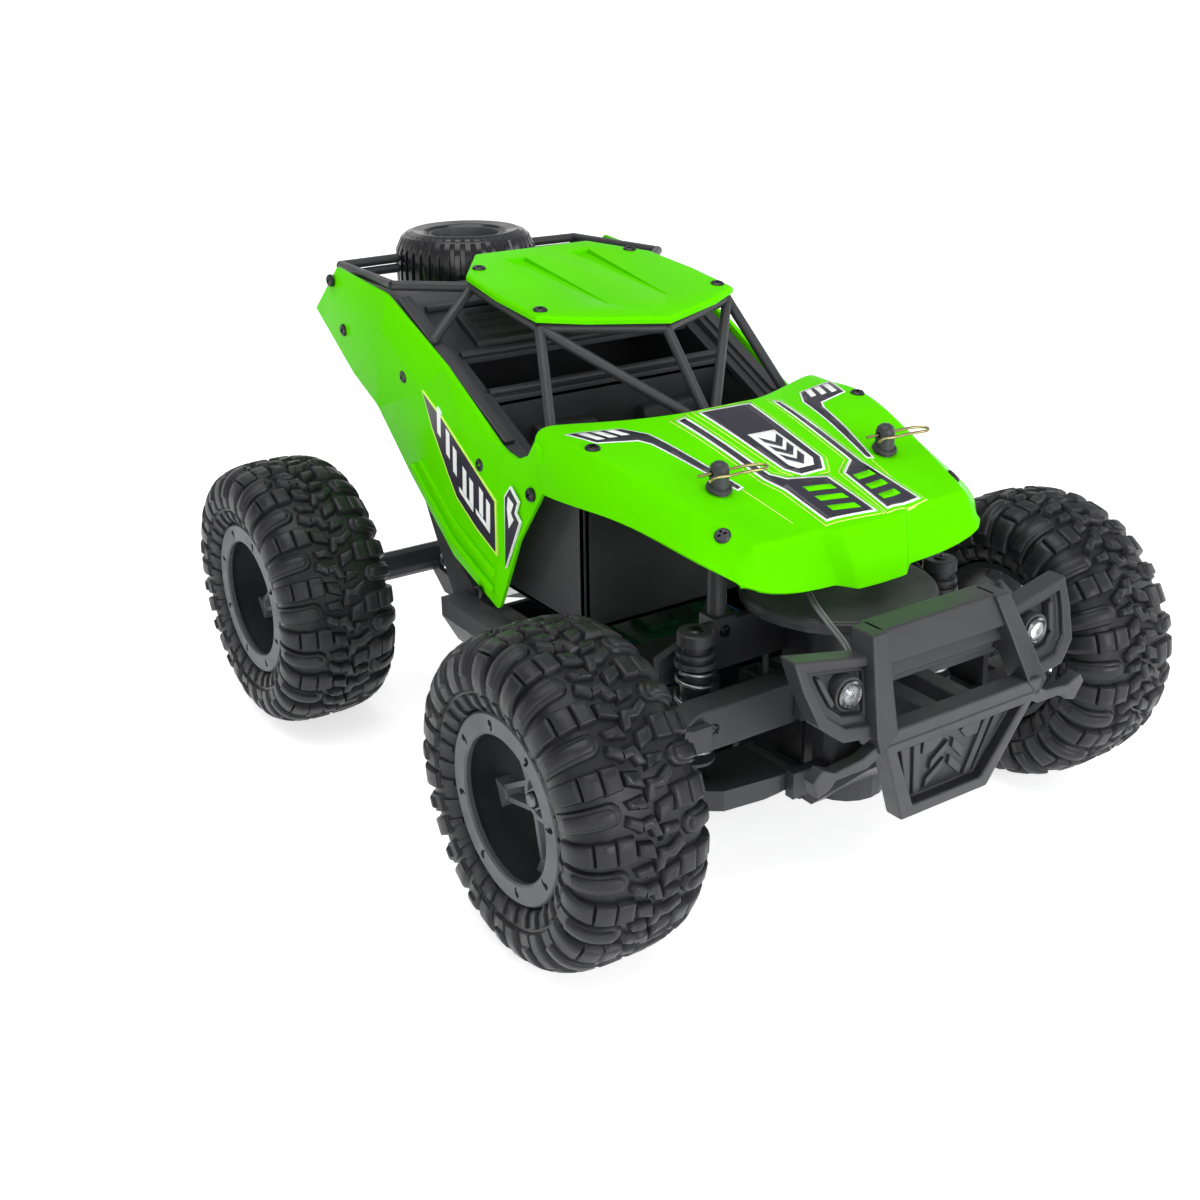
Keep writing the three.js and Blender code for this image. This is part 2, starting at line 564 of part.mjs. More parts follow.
function chassisTub() {
  const t = TUB;
  const outer = block(-t.halfWidth, t.halfWidth, t.front, t.back, t.floor, t.rim);
  const inner = block(
    t.wall - t.halfWidth, t.halfWidth - t.wall, t.front + t.wall, t.back - t.wall, t.floor + t.base, t.rim + 1,
  );
  const hornSlot = block(-18, 18, t.front - 1, t.front + t.wall + 1, HORN_Z[0] - 1, t.rim + 1);
  const battery = block(
    -BATTERY_OPENING.halfX, BATTERY_OPENING.halfX, BATTERY_OPENING.y0, BATTERY_OPENING.y1, t.floor - 1, t.floor + t.base + 1,
  );
  const slot = block(SWITCH.x - 1.4, SWITCH.x + 1.4, SWITCH.y - 3, SWITCH.y + SWITCH.travel + 3, t.floor - 1, 28);
  return cut(outer, inner, hornSlot, battery, slot);
}

function chassisNose() {
  const floor = plateXY([[-16, -12], [16, -12], [16, 12], [30, 24], [-30, 24], [-16, 12]], 24, 27);
  const sweep = plateYZ([[-10, 24], [-10, 27], [-32, 47], [-37, 47], [-37, 44.5], [-16, 24]], -15, 15);
  const column = rod([0, COLUMN.y, 25], [0, COLUMN.y, COLUMN.top], COLUMN.radius, 20);
  const cover = rod([0, NOSE_COVER.y, COLUMN.top - 0.5], [0, NOSE_COVER.y, NOSE_COVER.top], NOSE_COVER.radius, 24);
  const bumperLug = block(-10, 10, -24, -14, 56, 70);
  const spine = block(-7, 7, -4, 8, 25, 72);
  const tower = plateXZ([[-52, 62], [52, 62], [52, 70], [36, 76], [-36, 76], [-52, 70]], 5.4, 8);
  return join(floor, sweep, column, cover, bumperLug, spine, tower);
}

function pivotLugs() {
  const lug = (y0, y1, z) => bothSides(block(6, LINK_INNER_X + EYE, y0, y1, z - 4, z + 4));
  const lugs = [
    ...lug(LOWER_ARM_SPAN[0] - 3.5, LOWER_ARM_SPAN[0] - GAP, LOWER_LINK_Z),
    ...lug(LOWER_ARM_SPAN[1] + GAP, LOWER_ARM_SPAN[1] + 3, LOWER_LINK_Z),
    ...lug(UPPER_ARM_SPAN[0] - 3.5, UPPER_ARM_SPAN[0] - GAP, UPPER_LINK_Z),
    ...lug(UPPER_ARM_SPAN[1] + GAP, UPPER_ARM_SPAN[1] + 3.5, UPPER_LINK_Z),
  ];
  const pins = [
    ...bothSides(alongY(LINK_INNER_X, LOWER_LINK_Z, LOWER_ARM_SPAN[0] - 3, LOWER_ARM_SPAN[1] + 2, PIN, 8)),
    ...bothSides(alongY(LINK_INNER_X, UPPER_LINK_Z, UPPER_ARM_SPAN[0] - 3, UPPER_ARM_SPAN[1] + 3, PIN, 8)),
  ];
  const trailLugs = bothSides(block(CASE_HALF + 0.5, CASE_HALF + 4.5, TUB.back - 1, TRAIL_PIVOT_Y + 3.5, 33, 43));
  const trailPin = rod([-CASE_HALF - 4, TRAIL_PIVOT_Y, TRAIL_PIVOT_Z], [CASE_HALF + 4, TRAIL_PIVOT_Y, TRAIL_PIVOT_Z], PIN, 8);
  return [...lugs, ...pins, ...trailLugs, trailPin];
}

function rearFrame() {
  const rail = plateYZ([
    [60, 28], [104, 28], [112, 34], [126, 50], [150, 90], [166, 97], [166, 102], [144, 102], [118, 60], [104, 50], [60, 50],
  ], TUB.halfWidth - 0.5, TUB.halfWidth + 5.5);
  const crossMember = block(-TUB.halfWidth - 1, TUB.halfWidth + 1, 150, 160, REAR_SHOCK_TOP + GAP, 102);
  return [...bothSides(rail), crossMember];
}

function bodyPost(side) {
  const foot = block(side * POST.x - 3.6, side * POST.x + 3.6, 5.4, 12.6, 68, 77);
  const shaft = turned([[0, 74], [POST.radius, 74], [POST.radius, POST.top - 1.8], [1.6, POST.top - 0.4], [0, POST.top]], 12, Z_AXIS)
    .translate(side * POST.x, POST.y, 0);
  const hole = rod([side * POST.x - 5, POST.y, POST.holeZ], [side * POST.x + 5, POST.y, POST.holeZ], 0.9, 8);
  return cut(join(foot, shaft), hole);
}

add('chassis', join(chassisTub(), chassisNose(), ...pivotLugs(), ...rearFrame(), bodyPost(1), bodyPost(-1)), BLACK);

// both skirts are one moulding: a strap under the tub joins them
function sideSkirts() {
  const inner = TUB.halfWidth + 5.8;
  const wing = [[inner, 36], [inner + 3.5, 36], [inner + 9, 46], [inner + 9, 52.5], [inner, 52.5]];
  const strapTop = TUB.floor - GAP;
  const hangers = bothSides(block(inner, inner + 3.5, 98.5, 103.5, strapTop - 2.2, 37));
  const strap = block(-inner - 1, inner + 1, 98.5, 103.5, strapTop - 2.2, strapTop);
  return join(...bothSides(plateXZ(wing, 60, 116)), ...hangers, strap);
}
add('side_skirts', sideSkirts(), DARK_GREY);

// ---------- electrics ----------
function batteryDoor() {
  const b = BATTERY_OPENING;
  return block(GAP - b.halfX, b.halfX - GAP, b.y0 + GAP, b.y1 - GAP, TUB.floor, TUB.floor + TUB.base - GAP);
}

function receiverBoard() {
  const board = block(-20, 20, 58, 94, 45.4, 47);
  const chips = [block(-12, -2, 64, 76, 46.9, 48.6), block(4, 14, 80, 88, 46.9, 49.4)];
  const crystal = rod([10, 68, 46.9], [10, 68, 51], 2.2, 8);
  return join(board, ...chips, crystal);
}

function powerSwitch() {
  const knob = block(SWITCH.x - 1, SWITCH.x + 1, SWITCH.y - 2, SWITCH.y + 2, 22, 27.6);
  const slider = block(SWITCH.x - 3.2, SWITCH.x + 3.2, SWITCH.y - 3.4, SWITCH.y + 3.4, 27.4, 29.2);
  return join(knob, slider);
}

add('battery_pack', block(-24, 24, 52, 96, TUB.floor + TUB.base, 45), BATTERY_WRAP);
add('battery_door', batteryDoor(), BLACK);
add('receiver_board', receiverBoard(), BOARD_GREEN);
add('power_switch', powerSwitch(), DARK_GREY);

// ---------- painted body ----------
const SHELL_THICKNESS = 1.4;
const PANEL_OUTER_X = 55.8;
const PANEL_INNER_X = 54.2;

// Half sections of the bonnet from its rear edge to the nose, each from the middle to the side's lower edge.
const BONNET_SECTIONS = [
  [[0, 45, 122.4], [12.3, 45.3, 122.4], [27, 54.4, 120], [43.8, 62, 118.8], [50.9, 64.6, 120], [55.8, 62, 116], [56.5, 58, 103.5]],
  [[0, 38, 121], [12.3, 38, 121], [27, 42, 118.6], [43.8, 44, 118.2], [51, 44, 117.6], [56.8, 44, 112.5], [57, 44, 105]],
  [[0, 25, 117.3], [12.3, 25, 117.3], [27, 25, 115.4], [42.5, 25, 115.4], [49.5, 25, 115.2], [55.8, 26, 111.5], [55, 27, 107]],
  [[0, 9.5, 112.9], [12.3, 9.5, 112.9], [26, 9.5, 111.9], [41, 9.5, 112], [47.5, 9.5, 111.8], [53.4, 7, 108.6], [52.8, 5, 104.5]],
  [[0, -6, 108.6], [12.3, -6, 108.6], [25, -6, 107.6], [38, -6.5, 107.6], [44, -6.8, 107], [48.8, -7.2, 103.8], [48.8, -7.4, 101]],
  [[0, -13, 103.8], [12.3, -13.6, 105.2], [25, -14.3, 105.4], [37, -14.3, 105.1], [40, -13.6, 103.6], [44.2, -12.6, 100.4], [45, -13, 98]],
  [[0, -18, 89], [12.3, -18.8, 89.6], [25, -18.8, 92.4], [36, -18.4, 96.2], [38.5, -17.6, 97], [41.5, -16.6, 97.4], [42.6, -16.4, 96.4]],
  [[0, -18.6, 85.5], [12.3, -19.6, 86.2], [25, -19.4, 89.6], [36, -19, 93.8], [38.8, -18.4, 94.6], [41.2, -17.6, 95], [42.4, -17, 95]],
];

// The side panel's outline, from its lower front tip along the rear wheel arch to the fin and back.
const PANEL_OUTLINE = [
  [84.6, 57.6], [112, 67.5], [140, 87.5], [168, 108], [203, 132], [184.5, 147.6], [148, 146], [77, 111], [70, 110],
  [64, 114], [61, 117.5], [57, 116], [56, 104],
];

function bodyShell() {
  const rows = BONNET_SECTIONS.map((half) => {
    const right = half.slice(1).reverse().map(([x, y, z]) => new THREE.Vector3(-x, y, z));
    return [...right, ...half.map((point) => new THREE.Vector3(...point))];
  });
  const bonnet = sheet(rows, SHELL_THICKNESS);
  const panels = bothSides(plateYZ(PANEL_OUTLINE, PANEL_INNER_X, PANEL_OUTER_X));
  const postHoles = bothSides(rod([POST.x, POST.y, 100], [POST.x, POST.y, 125], POST.radius + 0.5, 12));
  return cut(join(bonnet, ...panels), ...postHoles);
}

const ROOF = { frontY: 71.3, frontZ: 143.2, slope: 0.115, skin: 1.4, rim: 2.2 };
const ROOF_OUTLINE = [[0, 71.3], [36.9, 88], [37.5, 110], [35.6, 131.6], [22, 150], [-22, 150], [-35.6, 131.6], [-37.5, 110], [-36.9, 88]];
const roofZ = (y) => ROOF.frontZ + ROOF.slope * (y - ROOF.frontY);
const inset = (outline, share) => outline.map(([x, y]) => [x * share, 112 + (y - 112) * share]);

// tilts a flat piece drawn at z = 0 onto the roof's slope
function onRoof(geometry) {
  const slant = new THREE.Matrix4().set(1, 0, 0, 0, 0, 1, 0, 0, 0, ROOF.slope, 1, roofZ(0), 0, 0, 0, 1);
  return geometry.applyMatrix4(slant);
}

function roofPanel() {
  const skin = plateXY(ROOF_OUTLINE, -ROOF.skin, 0);
  const rim = cut(plateXY(ROOF_OUTLINE, -ROOF.rim, 0), plateXY(inset(ROOF_OUTLINE, 0.96), -ROOF.rim - 1, 1));
  const groove = bothSides(plateXY([[10.5, 92], [11.5, 92], [15, 140], [9, 140]], -0.7, 1));
  return onRoof(cut(join(skin, rim), ...groove));
}

add('body_shell', bodyShell(), GREEN);
add('roof_panel', roofPanel(), GREEN);

// ---------- roll cage ----------
const CAGE_RADIUS = 1.6;
const CAGE_DROP = 4.3;           // tube centres below the roof's surface
const roofNode = (x, y) => [x, y, roofZ(y) - CAGE_DROP];
const COWL = [0, 50, 114];

function rollCage() {
  const front = roofNode(0, 73.5);
  const tubes = [[front, COWL]];
  for (const [, side] of SIDES) {
    const roofFront = roofNode(side * 35.2, 89);
    const roofRear = roofNode(side * 34, 131);
    const tail = roofNode(side * 21, 148);
    const pillarFoot = [side * 44.6, 68, 112.5];
    const doorFoot = [side * 52.2, 124, 134];
    const finFront = [side * 52.2, 150, 147];
    const finRear = [side * 50, 199, 146];
    const upperStay = [side * 26.4, 199, 146];
    tubes.push([roofFront, pillarFoot], [roofFront, COWL], [front, roofFront], [roofFront, roofRear], [roofRear, tail]);
    tubes.push([roofRear, doorFoot], [roofRear, finFront], [finFront, finRear], [finRear, upperStay]);
  }
  tubes.push([roofNode(-21, 148), roofNode(21, 148)]);
  const reach = CAGE_RADIUS * 0.6;
  return join(...tubes.map(([a, b]) => {
    const from = new THREE.Vector3(...a);
    const to = new THREE.Vector3(...b);
    const extra = to.clone().sub(from).setLength(reach);
    return rod(from.sub(extra).toArray(), to.add(extra).toArray(), CAGE_RADIUS, 6);
  }));
}
add('roll_cage', rollCage(), BLACK);

// ---------- interior ----------
const INTERIOR = { halfWidth: 46, floor: 60, front: 50, back: 104, skin: 2 };
const RAIL_X = [47, 53.8];
const DECK_X = 47.5;
const DECK_LINE = [[104, 119], [148, 140.5], [168, 142]];
const SPARE = { y: 195.7, radius: 25.3, bottom: 124.3, top: 154.3, hub: 13, web: 133 };
const SHELF = [119.5, 122];
const HATCH = { halfX: 36, y0: 125.5, y1: 141.5 };
const deckZ = (y) => DECK_LINE[0][1] + ((y - DECK_LINE[0][0]) * (DECK_LINE[1][1] - DECK_LINE[0][1])) / 44;

function seat(side) {
  const centre = side * 20;
  const back = plateYZ([[86, 62], [92, 62], [103, 106], [98, 108]], centre - 12, centre + 12);
  const cushion = block(centre - 12, centre + 12, 66, 90, 61, 69);
  const bolster = plateYZ([[64, 61], [64, 71], [84, 73], [94, 104], [101, 104], [92, 61]], 0, 2.5);
  const bolsters = [centre - 13, centre + 10.5].map((x) => bolster.clone().translate(x, 0, 0));
  return [back, cushion, ...bolsters];
}

function cockpit() {
  const i = INTERIOR;
  const floor = block(-i.halfWidth, i.halfWidth, i.front, i.back, i.floor, i.floor + i.skin);
  const backWall = block(-i.halfWidth, i.halfWidth, i.back - i.skin, i.back, i.floor, 119);
  const dash = block(-i.halfWidth, i.halfWidth, i.front, i.front + 3, i.floor, 110);
  const walls = bothSides(plateYZ([[50, 60], [104, 60], [104, 119], [78, 105], [50, 105]], i.halfWidth - i.skin, i.halfWidth));
  const rails = bothSides(plateYZ([[78, 104], [148, 139], [192, 140], [192, 144], [147.5, 143.4], [76, 108]], ...RAIL_X));
  const wallCaps = bothSides(plateYZ([[78, 104], [104, 116.8], [104, 120.5], [76, 107]], i.halfWidth - i.skin, RAIL_X[0] + 1));
  const [a, b, c] = DECK_LINE;
  const deck = plateYZ([[102, a[1] - 3], b.map((v, k) => v - 2 * k), [c[0], c[1] - 2], c, b, [102, a[1] - 1]], -DECK_X, DECK_X);
  const window = block(-43, 43, 106.5, 121, 100, 160);
  const hatchHole = block(-HATCH.halfX, HATCH.halfX, HATCH.y0, HATCH.y1, 100, 160);
  const drop = block(-DECK_X, DECK_X, 166, 168, SHELF[0], 141);
  const shelf = block(-27, 27, 166, 208, ...SHELF);
  const hub = rod([0, SPARE.y, SHELF[1] - 1], [0, SPARE.y, SPARE.web - GAP], 10, 16);
  return join(
    floor, backWall, dash, ...walls, ...rails, ...wallCaps, cut(deck, window, hatchHole), drop, shelf, hub,
    ...seat(1), ...seat(-1),
  );
}

function deckHatch() {
  const h = HATCH;
  const lid = plateYZ([
    [h.y0 + GAP, deckZ(h.y0) - 1.6], [h.y1 - GAP, deckZ(h.y1) - 1.6], [h.y1 - GAP, deckZ(h.y1) + 1.6],
    [h.y0 + GAP, deckZ(h.y0) + 1.6],
  ], GAP - h.halfX, h.halfX - GAP);
  const recess = block(-9, 9, h.y0 + 1.5, h.y0 + 5, deckZ(h.y0) - 0.2, 160);
  return cut(lid, recess);
}

function spareWheel() {
  const s = SPARE;
  return turned([
    [0, s.web], [s.hub, s.web], [s.hub, s.bottom + 2], [20, s.bottom], [s.radius - 0.8, s.bottom + 2.5],
    [s.radius, s.bottom + 7], [s.radius, s.top - 7], [s.radius - 0.8, s.top - 2.5], [20, s.top], [s.hub, s.top - 2],
    [s.hub, s.web + 4], [0, s.web + 4],
  ], 24, Z_AXIS);
}

add('cockpit_tub', cockpit(), BLACK);
add('deck_hatch', deckHatch(), DARK_GREY);
add('spare_wheel', spareWheel(), GLOSS_BLACK, [0, SPARE.y, 0]);

// ---------- bumper and headlights ----------
const BUMPER_FACE = -55;
const KNEE_Z = 66;
const LENS = { x: 33.2, z: 76, radius: 3.2 };
// the bumper leans back above and below its knee
const leanBack = (z) => (z > KNEE_Z ? (z - KNEE_Z) * 0.45 : (KNEE_Z - z) * 0.15);

function leaning(geometry) {
  const position = geometry.attributes.position;
  for (let i = 0; i < position.count; i += 1) {
    position.setY(i, position.getY(i) + leanBack(position.getZ(i)));
  }
  return geometry;
}

function bumper() {
  const face = BUMPER_FACE;
  const pod = cut(
    plateXZ([[22, 86], [48, 87], [43.5, 64], [28, 66]], face + 2.5, face + 9),
    plateXZ([[26.5, 82.5], [43.5, 83.5], [40, 68.5], [29, 69]], face + 1, face + 6),
  );
  const lampBoss = rod([LENS.x, face + 5, LENS.z], [LENS.x, face + 7, LENS.z], LENS.radius + 1, 12);
  const upright = plateXZ([[19, 88.5], [24.5, 88.5], [30.5, KNEE_Z], [28, 61], [23, KNEE_Z]], face, face + 8);
  const hook = plateXZ([[27, 66], [33, 62.5], [46, 61], [48, 57.5], [44, 55], [31, 57], [26, 60]], face + 1, face + 5);
  const topBar = plateXZ([[-21, 88.5], [21, 88.5], [22.5, 80], [19, 75.5], [-19, 75.5], [-22.5, 80]], face + 1, face + 9);
  const crossBar = block(-29, 29, face, face + 6, 62.5, 66.5);
  const grille = cut(
    plateXZ([[-27, 63], [27, 63], [15.5, 34.5], [-15.5, 34.5]], face, face + 5.5),
    plateXZ([[-22, 59.5], [22, 59.5], [12, 39], [-12, 39]], face - 1, face + 3.5),
  );
  const front = join(...bothSides(pod), ...bothSides(lampBoss), ...bothSides(upright), ...bothSides(hook), topBar, crossBar, grille);
  const arms = bothSides(block(3, 9, face + 3, -24.4, 60, 66));
  return join(leaning(front), ...arms);
}

function lens() {
  const profile = [[0, 0], [LENS.radius, 0], [LENS.radius, 0.8], [LENS.radius * 0.7, 2], [0, 2.6]];
  return turned(profile, 14, Y_AXIS).rotateX(Math.PI);
}

add('bumper', bumper(), BLACK);
for (const [name, side] of SIDES) {
  const face = BUMPER_FACE + 5 + leanBack(LENS.z) - GAP - 1.6;
  add(`headlight_lens_${name}`, lens(), CLEAR, [side * LENS.x, face, LENS.z]);
}

const LEAD_ROUTE = [
  [-14, -9, 84.8], [-16.5, -13, 86.6], [-19.5, -19, 86.2], [-21.5, -26, 84.6], [-22.8, -33, 82.4], [-24, -38, 80],
];
const leadCurve = new THREE.CatmullRomCurve3(LEAD_ROUTE.map((point) => new THREE.Vector3(...point)));
add('headlight_lead', roundWire(leadCurve, 0.9, 12, 8), LEAD_GREY);

// ---------- body clips: a straight pin through the post, a loop, and a leg that springs over the post ----------
const CLIP_ROUTE = [
  [-7, 0, 0], [0, 0, 0], [8, 0, 0], [12, -1, 0], [13.5, -3, 0], [11.5, -5, 0], [8, -4.6, 0], [4, -4.2, 0], [0, -4.4, 0],
  [-4, -3.6, 0], [-7, -5, 0],
];
for (const [name, side] of SIDES) {
  const curve = new THREE.CatmullRomCurve3(CLIP_ROUTE.map((point) => new THREE.Vector3(...point)));
  add(`body_clip_${name}`, roundWire(curve, 0.5, 22, 5), BRASS, [side * POST.x, POST.y, POST.holeZ]);
}

export default group;
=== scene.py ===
"""Looks of the remote control buggy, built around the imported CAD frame.

Shapes are drawn in millimetres with y = 0 at the front axle, as the CAD source does, and
new_piece() turns them into metres in the row frame. +X is the car's left, -Y its front.
"""

import math

import bmesh
import bpy
from mathutils import Matrix, Vector
from mathutils.bvhtree import BVHTree


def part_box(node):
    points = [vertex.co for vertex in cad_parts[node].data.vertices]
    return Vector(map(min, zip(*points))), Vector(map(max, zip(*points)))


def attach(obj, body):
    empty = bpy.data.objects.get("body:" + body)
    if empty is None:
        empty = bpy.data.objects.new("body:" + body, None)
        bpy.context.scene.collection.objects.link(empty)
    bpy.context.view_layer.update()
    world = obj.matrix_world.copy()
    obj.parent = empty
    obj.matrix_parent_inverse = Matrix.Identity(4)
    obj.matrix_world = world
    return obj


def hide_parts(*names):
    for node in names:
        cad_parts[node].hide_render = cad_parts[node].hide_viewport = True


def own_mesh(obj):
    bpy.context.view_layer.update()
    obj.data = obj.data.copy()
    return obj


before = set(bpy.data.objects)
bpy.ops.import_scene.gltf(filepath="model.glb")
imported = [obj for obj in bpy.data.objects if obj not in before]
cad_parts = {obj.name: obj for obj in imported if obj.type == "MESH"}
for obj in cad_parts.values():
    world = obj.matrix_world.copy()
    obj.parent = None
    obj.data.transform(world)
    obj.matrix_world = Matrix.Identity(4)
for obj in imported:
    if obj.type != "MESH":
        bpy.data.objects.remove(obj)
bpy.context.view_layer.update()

MM = 0.001
SIDES = (("left", 1), ("right", -1))
ENDS = ("front", "rear")


def centre_of(node):
    """The middle of a CAD node's box, in millimetres in the row frame."""
    low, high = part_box(node)
    return (low + high) / 2 / MM


FRONT_AXLE_Y = centre_of("tyre_front_left").y
TO_ROW = Matrix.Translation((0, FRONT_AXLE_Y * MM, 0)) @ Matrix.Scale(MM, 4)

# ---------- camera, light and floor ----------
CAMERA_PLACE = (-0.26379, -0.36706, 0.23890)
CAMERA_FORWARD = (0.51137, 0.76649, -0.38857)
CAMERA_DOWN = (-0.22594, -0.31634, -0.92135)
CAMERA_LENS = 44.78
LIT_POINT = (0.0, 0.0, 0.07)
# name, place, size and power of each softbox, in metres and watts
SOFTBOXES = (
    ("top_light", (-0.15, -0.1, 1.1), (1.1, 0.9), 7.6),
    ("front_light", (-0.9, -0.9, 0.55), (0.7, 0.5), 2.2),
    ("side_light", (1.1, -0.5, 0.5), (0.5, 0.6), 2.4),
    ("nose_light", (0.15, -1.2, 0.35), (0.8, 0.4), 7.0),
    ("back_light", (0.2, 1.2, 0.7), (1.0, 0.4), 0.8),
)
WHITE = (1.0, 1.0, 1.0, 1.0)
# the sky is HORIZON_LIGHT up to the first height of its direction, and OVERHEAD_LIGHT from the second
SKY_FADE = (0.12, 0.26)
HORIZON_LIGHT, OVERHEAD_LIGHT = 1.0, 0.4
FLOOR_REACH = 60.0
FLOOR_GREY, FLOOR_GLOW = 0.86, 0.66

scene = bpy.context.scene


def add_camera():
    forward, down = Vector(CAMERA_FORWARD), Vector(CAMERA_DOWN)
    right = down.cross(forward)
    turn = Matrix((right, -down, -forward)).transposed()
    data = bpy.data.cameras.new("camera")
    data.lens = CAMERA_LENS
    data.clip_start = 0.01
    camera = bpy.data.objects.new("camera", data)
    camera.matrix_world = Matrix.Translation(CAMERA_PLACE) @ turn.to_4x4()
    scene.collection.objects.link(camera)
    scene.camera = camera


def add_softbox(name, place, target, size, power):
    data = bpy.data.lights.new(name, "AREA")
    data.shape = "RECTANGLE"
    data.size, data.size_y = size
    data.energy = power
    lamp = bpy.data.objects.new(name, data)
    lamp.location = place
    lamp.rotation_euler = (Vector(target) - Vector(place)).to_track_quat("-Z", "Y").to_euler()
    scene.collection.objects.link(lamp)


def add_world():
    """White near the horizon, as the floor is, and dimmer overhead, so that the softboxes shape the light."""
    world = bpy.data.worlds.new("studio")
    world.use_nodes = True
    nodes, links = world.node_tree.nodes, world.node_tree.links
    background = nodes["Background"]
    background.inputs["Color"].default_value = WHITE
    height = nodes.new("ShaderNodeSeparateXYZ")
    links.new(nodes.new("ShaderNodeTexCoord").outputs["Generated"], height.inputs["Vector"])
    fade = nodes.new("ShaderNodeMapRange")
    settings = zip(("From Min", "From Max", "To Min", "To Max"), (*SKY_FADE, HORIZON_LIGHT, OVERHEAD_LIGHT))
    for socket, number in settings:
        fade.inputs[socket].default_value = number
    links.new(height.outputs["Z"], fade.inputs["Value"])
    links.new(fade.outputs["Result"], background.inputs["Strength"])
    scene.world = world


def add_floor():
    """A sheet of matt white paper that glows a little, so that it stays white out to the horizon."""
    bm = bmesh.new()
    signs = ((-1, -1), (1, -1), (1, 1), (-1, 1))
    bm.faces.new([bm.verts.new((x * FLOOR_REACH, y * FLOOR_REACH, 0)) for x, y in signs])
    mesh = bpy.data.meshes.new("floor")
    bm.to_mesh(mesh)
    bm.free()
    floor = bpy.data.objects.new("floor", mesh)
    scene.collection.objects.link(floor)
    material = bpy.data.materials.new("floor_paper")
    material.use_nodes = True
    inputs = material.node_tree.nodes["Principled BSDF"].inputs
    inputs["Base Color"].default_value = (FLOOR_GREY, FLOOR_GREY, FLOOR_GREY, 1.0)
    inputs["Roughness"].default_value = 0.95
    inputs["Specular IOR Level"].default_value = 0.0
    inputs["Emission Color"].default_value = WHITE
    inputs["Emission Strength"].default_value = FLOOR_GLOW
    mesh.materials.append(material)


def add_studio():
    scene.view_settings.view_transform = "Standard"
    add_world()
    for name, place, size, power in SOFTBOXES:
        add_softbox(name, place, LIT_POINT, size, power)
    add_floor()


# ---------- materials ----------
class Surface:
    """A principled material whose colour, roughness and relief come from noise in object space."""

    def __init__(self, name, color, roughness, metallic=0.0):
        self.material = bpy.data.materials.new(name)
        self.material.use_nodes = True
        self.nodes = self.material.node_tree.nodes
        self.links = self.material.node_tree.links
        self.shader = self.nodes["Principled BSDF"]
        self.color = color
        self.roughness = roughness
        self.set("Metallic", metallic)
        self.place = self.nodes.new("ShaderNodeTexCoord").outputs["Object"]
        self.relief = None

    def set(self, socket, value):
        self.shader.inputs[socket].default_value = value
        return self

    def noise(self, scale, detail=3.0):
        node = self.nodes.new("ShaderNodeTexNoise")
        node.inputs["Scale"].default_value = scale
        node.inputs["Detail"].default_value = detail
        self.links.new(self.place, node.inputs["Vector"])
        return node.outputs["Fac"]

    def ramp(self, value, low, high, to_low=0.0, to_high=1.0):
        node = self.nodes.new("ShaderNodeMapRange")
        for socket, number in (("From Min", low), ("From Max", high), ("To Min", to_low),
                ("To Max", to_high)):
            node.inputs[socket].default_value = number
        self.links.new(value, node.inputs["Value"])
        return node.outputs["Result"]

    def mix(self, share, one, other):
        node = self.nodes.new("ShaderNodeMix")
        node.data_type = "RGBA"
        self.links.new(share, node.inputs["Factor"])
        for socket, color in (("A", one), ("B", other)):
            target = [s for s in node.inputs if s.name == socket and s.type == "RGBA"][0]
            if isinstance(color, bpy.types.NodeSocket):
                self.links.new(color, target)
            else:
                target.default_value = (*color, 1.0)
        return [s for s in node.outputs if s.type == "RGBA"][0]

    def tint(self, spread, scale=60.0, wear=0.0, wear_color=(0.2, 0.2, 0.2)):
        """Cloudy colour changes of +-spread, and lighter rubbed edges."""
        darker = [c * (1 - spread) for c in self.color]
        lighter = [min(1.0, c * (1 + spread)) for c in self.color]
        color = self.mix(self.ramp(self.noise(scale), 0.3, 0.7), darker, lighter)
        if wear:
            pointiness = self.nodes.new("ShaderNodeNewGeometry").outputs["Pointiness"]
            edge = self.ramp(pointiness, 0.505, 0.56, 0.0, wear)
            color = self.mix(edge, color, wear_color)
        self.links.new(color, self.shader.inputs["Base Color"])
        return self

    def polish(self, spread, scale=140.0):
        """Roughness that drifts by +-spread."""
        rough = self.ramp(self.noise(scale), 0.3, 0.7, self.roughness - spread, self.roughness + spread)
        self.links.new(rough, self.shader.inputs["Roughness"])
        return self

    def grain(self, scale, height, detail=2.0):
        """Fine relief, height in millimetres."""
        bump = self.nodes.new("ShaderNodeBump")
        bump.inputs["Strength"].default_value = 1.0
        bump.inputs["Distance"].default_value = height * MM
        self.links.new(self.noise(scale, detail), bump.inputs["Height"])
        if self.relief:
            self.links.new(self.relief, bump.inputs["Normal"])
        self.relief = bump.outputs["Normal"]
        self.links.new(self.relief, self.shader.inputs["Normal"])
        return self

    def soft_edges(self, radius):
        """Rounds the sharp edges of a CAD solid in the shading, radius in millimetres."""
        bevel = self.nodes.new("ShaderNodeBevel")
        bevel.samples = 4
        bevel.inputs["Radius"].default_value = radius * MM
        self.relief = bevel.outputs["Normal"]
        self.links.new(self.relief, self.shader.inputs["Normal"])
        return self


def moulded(name, color, roughness, wear_color, soft=0.0):
    """Satin moulded plastic with a fine spark-eroded grain."""
    surface = Surface(name, color, roughness)
    if soft:
        surface.soft_edges(soft)
    surface.set("Specular IOR Level", 0.35)
    return surface.tint(0.22, 45.0, 0.5, wear_color).polish(0.07).grain(2600.0, 0.012).grain(240.0,
        0.02).material


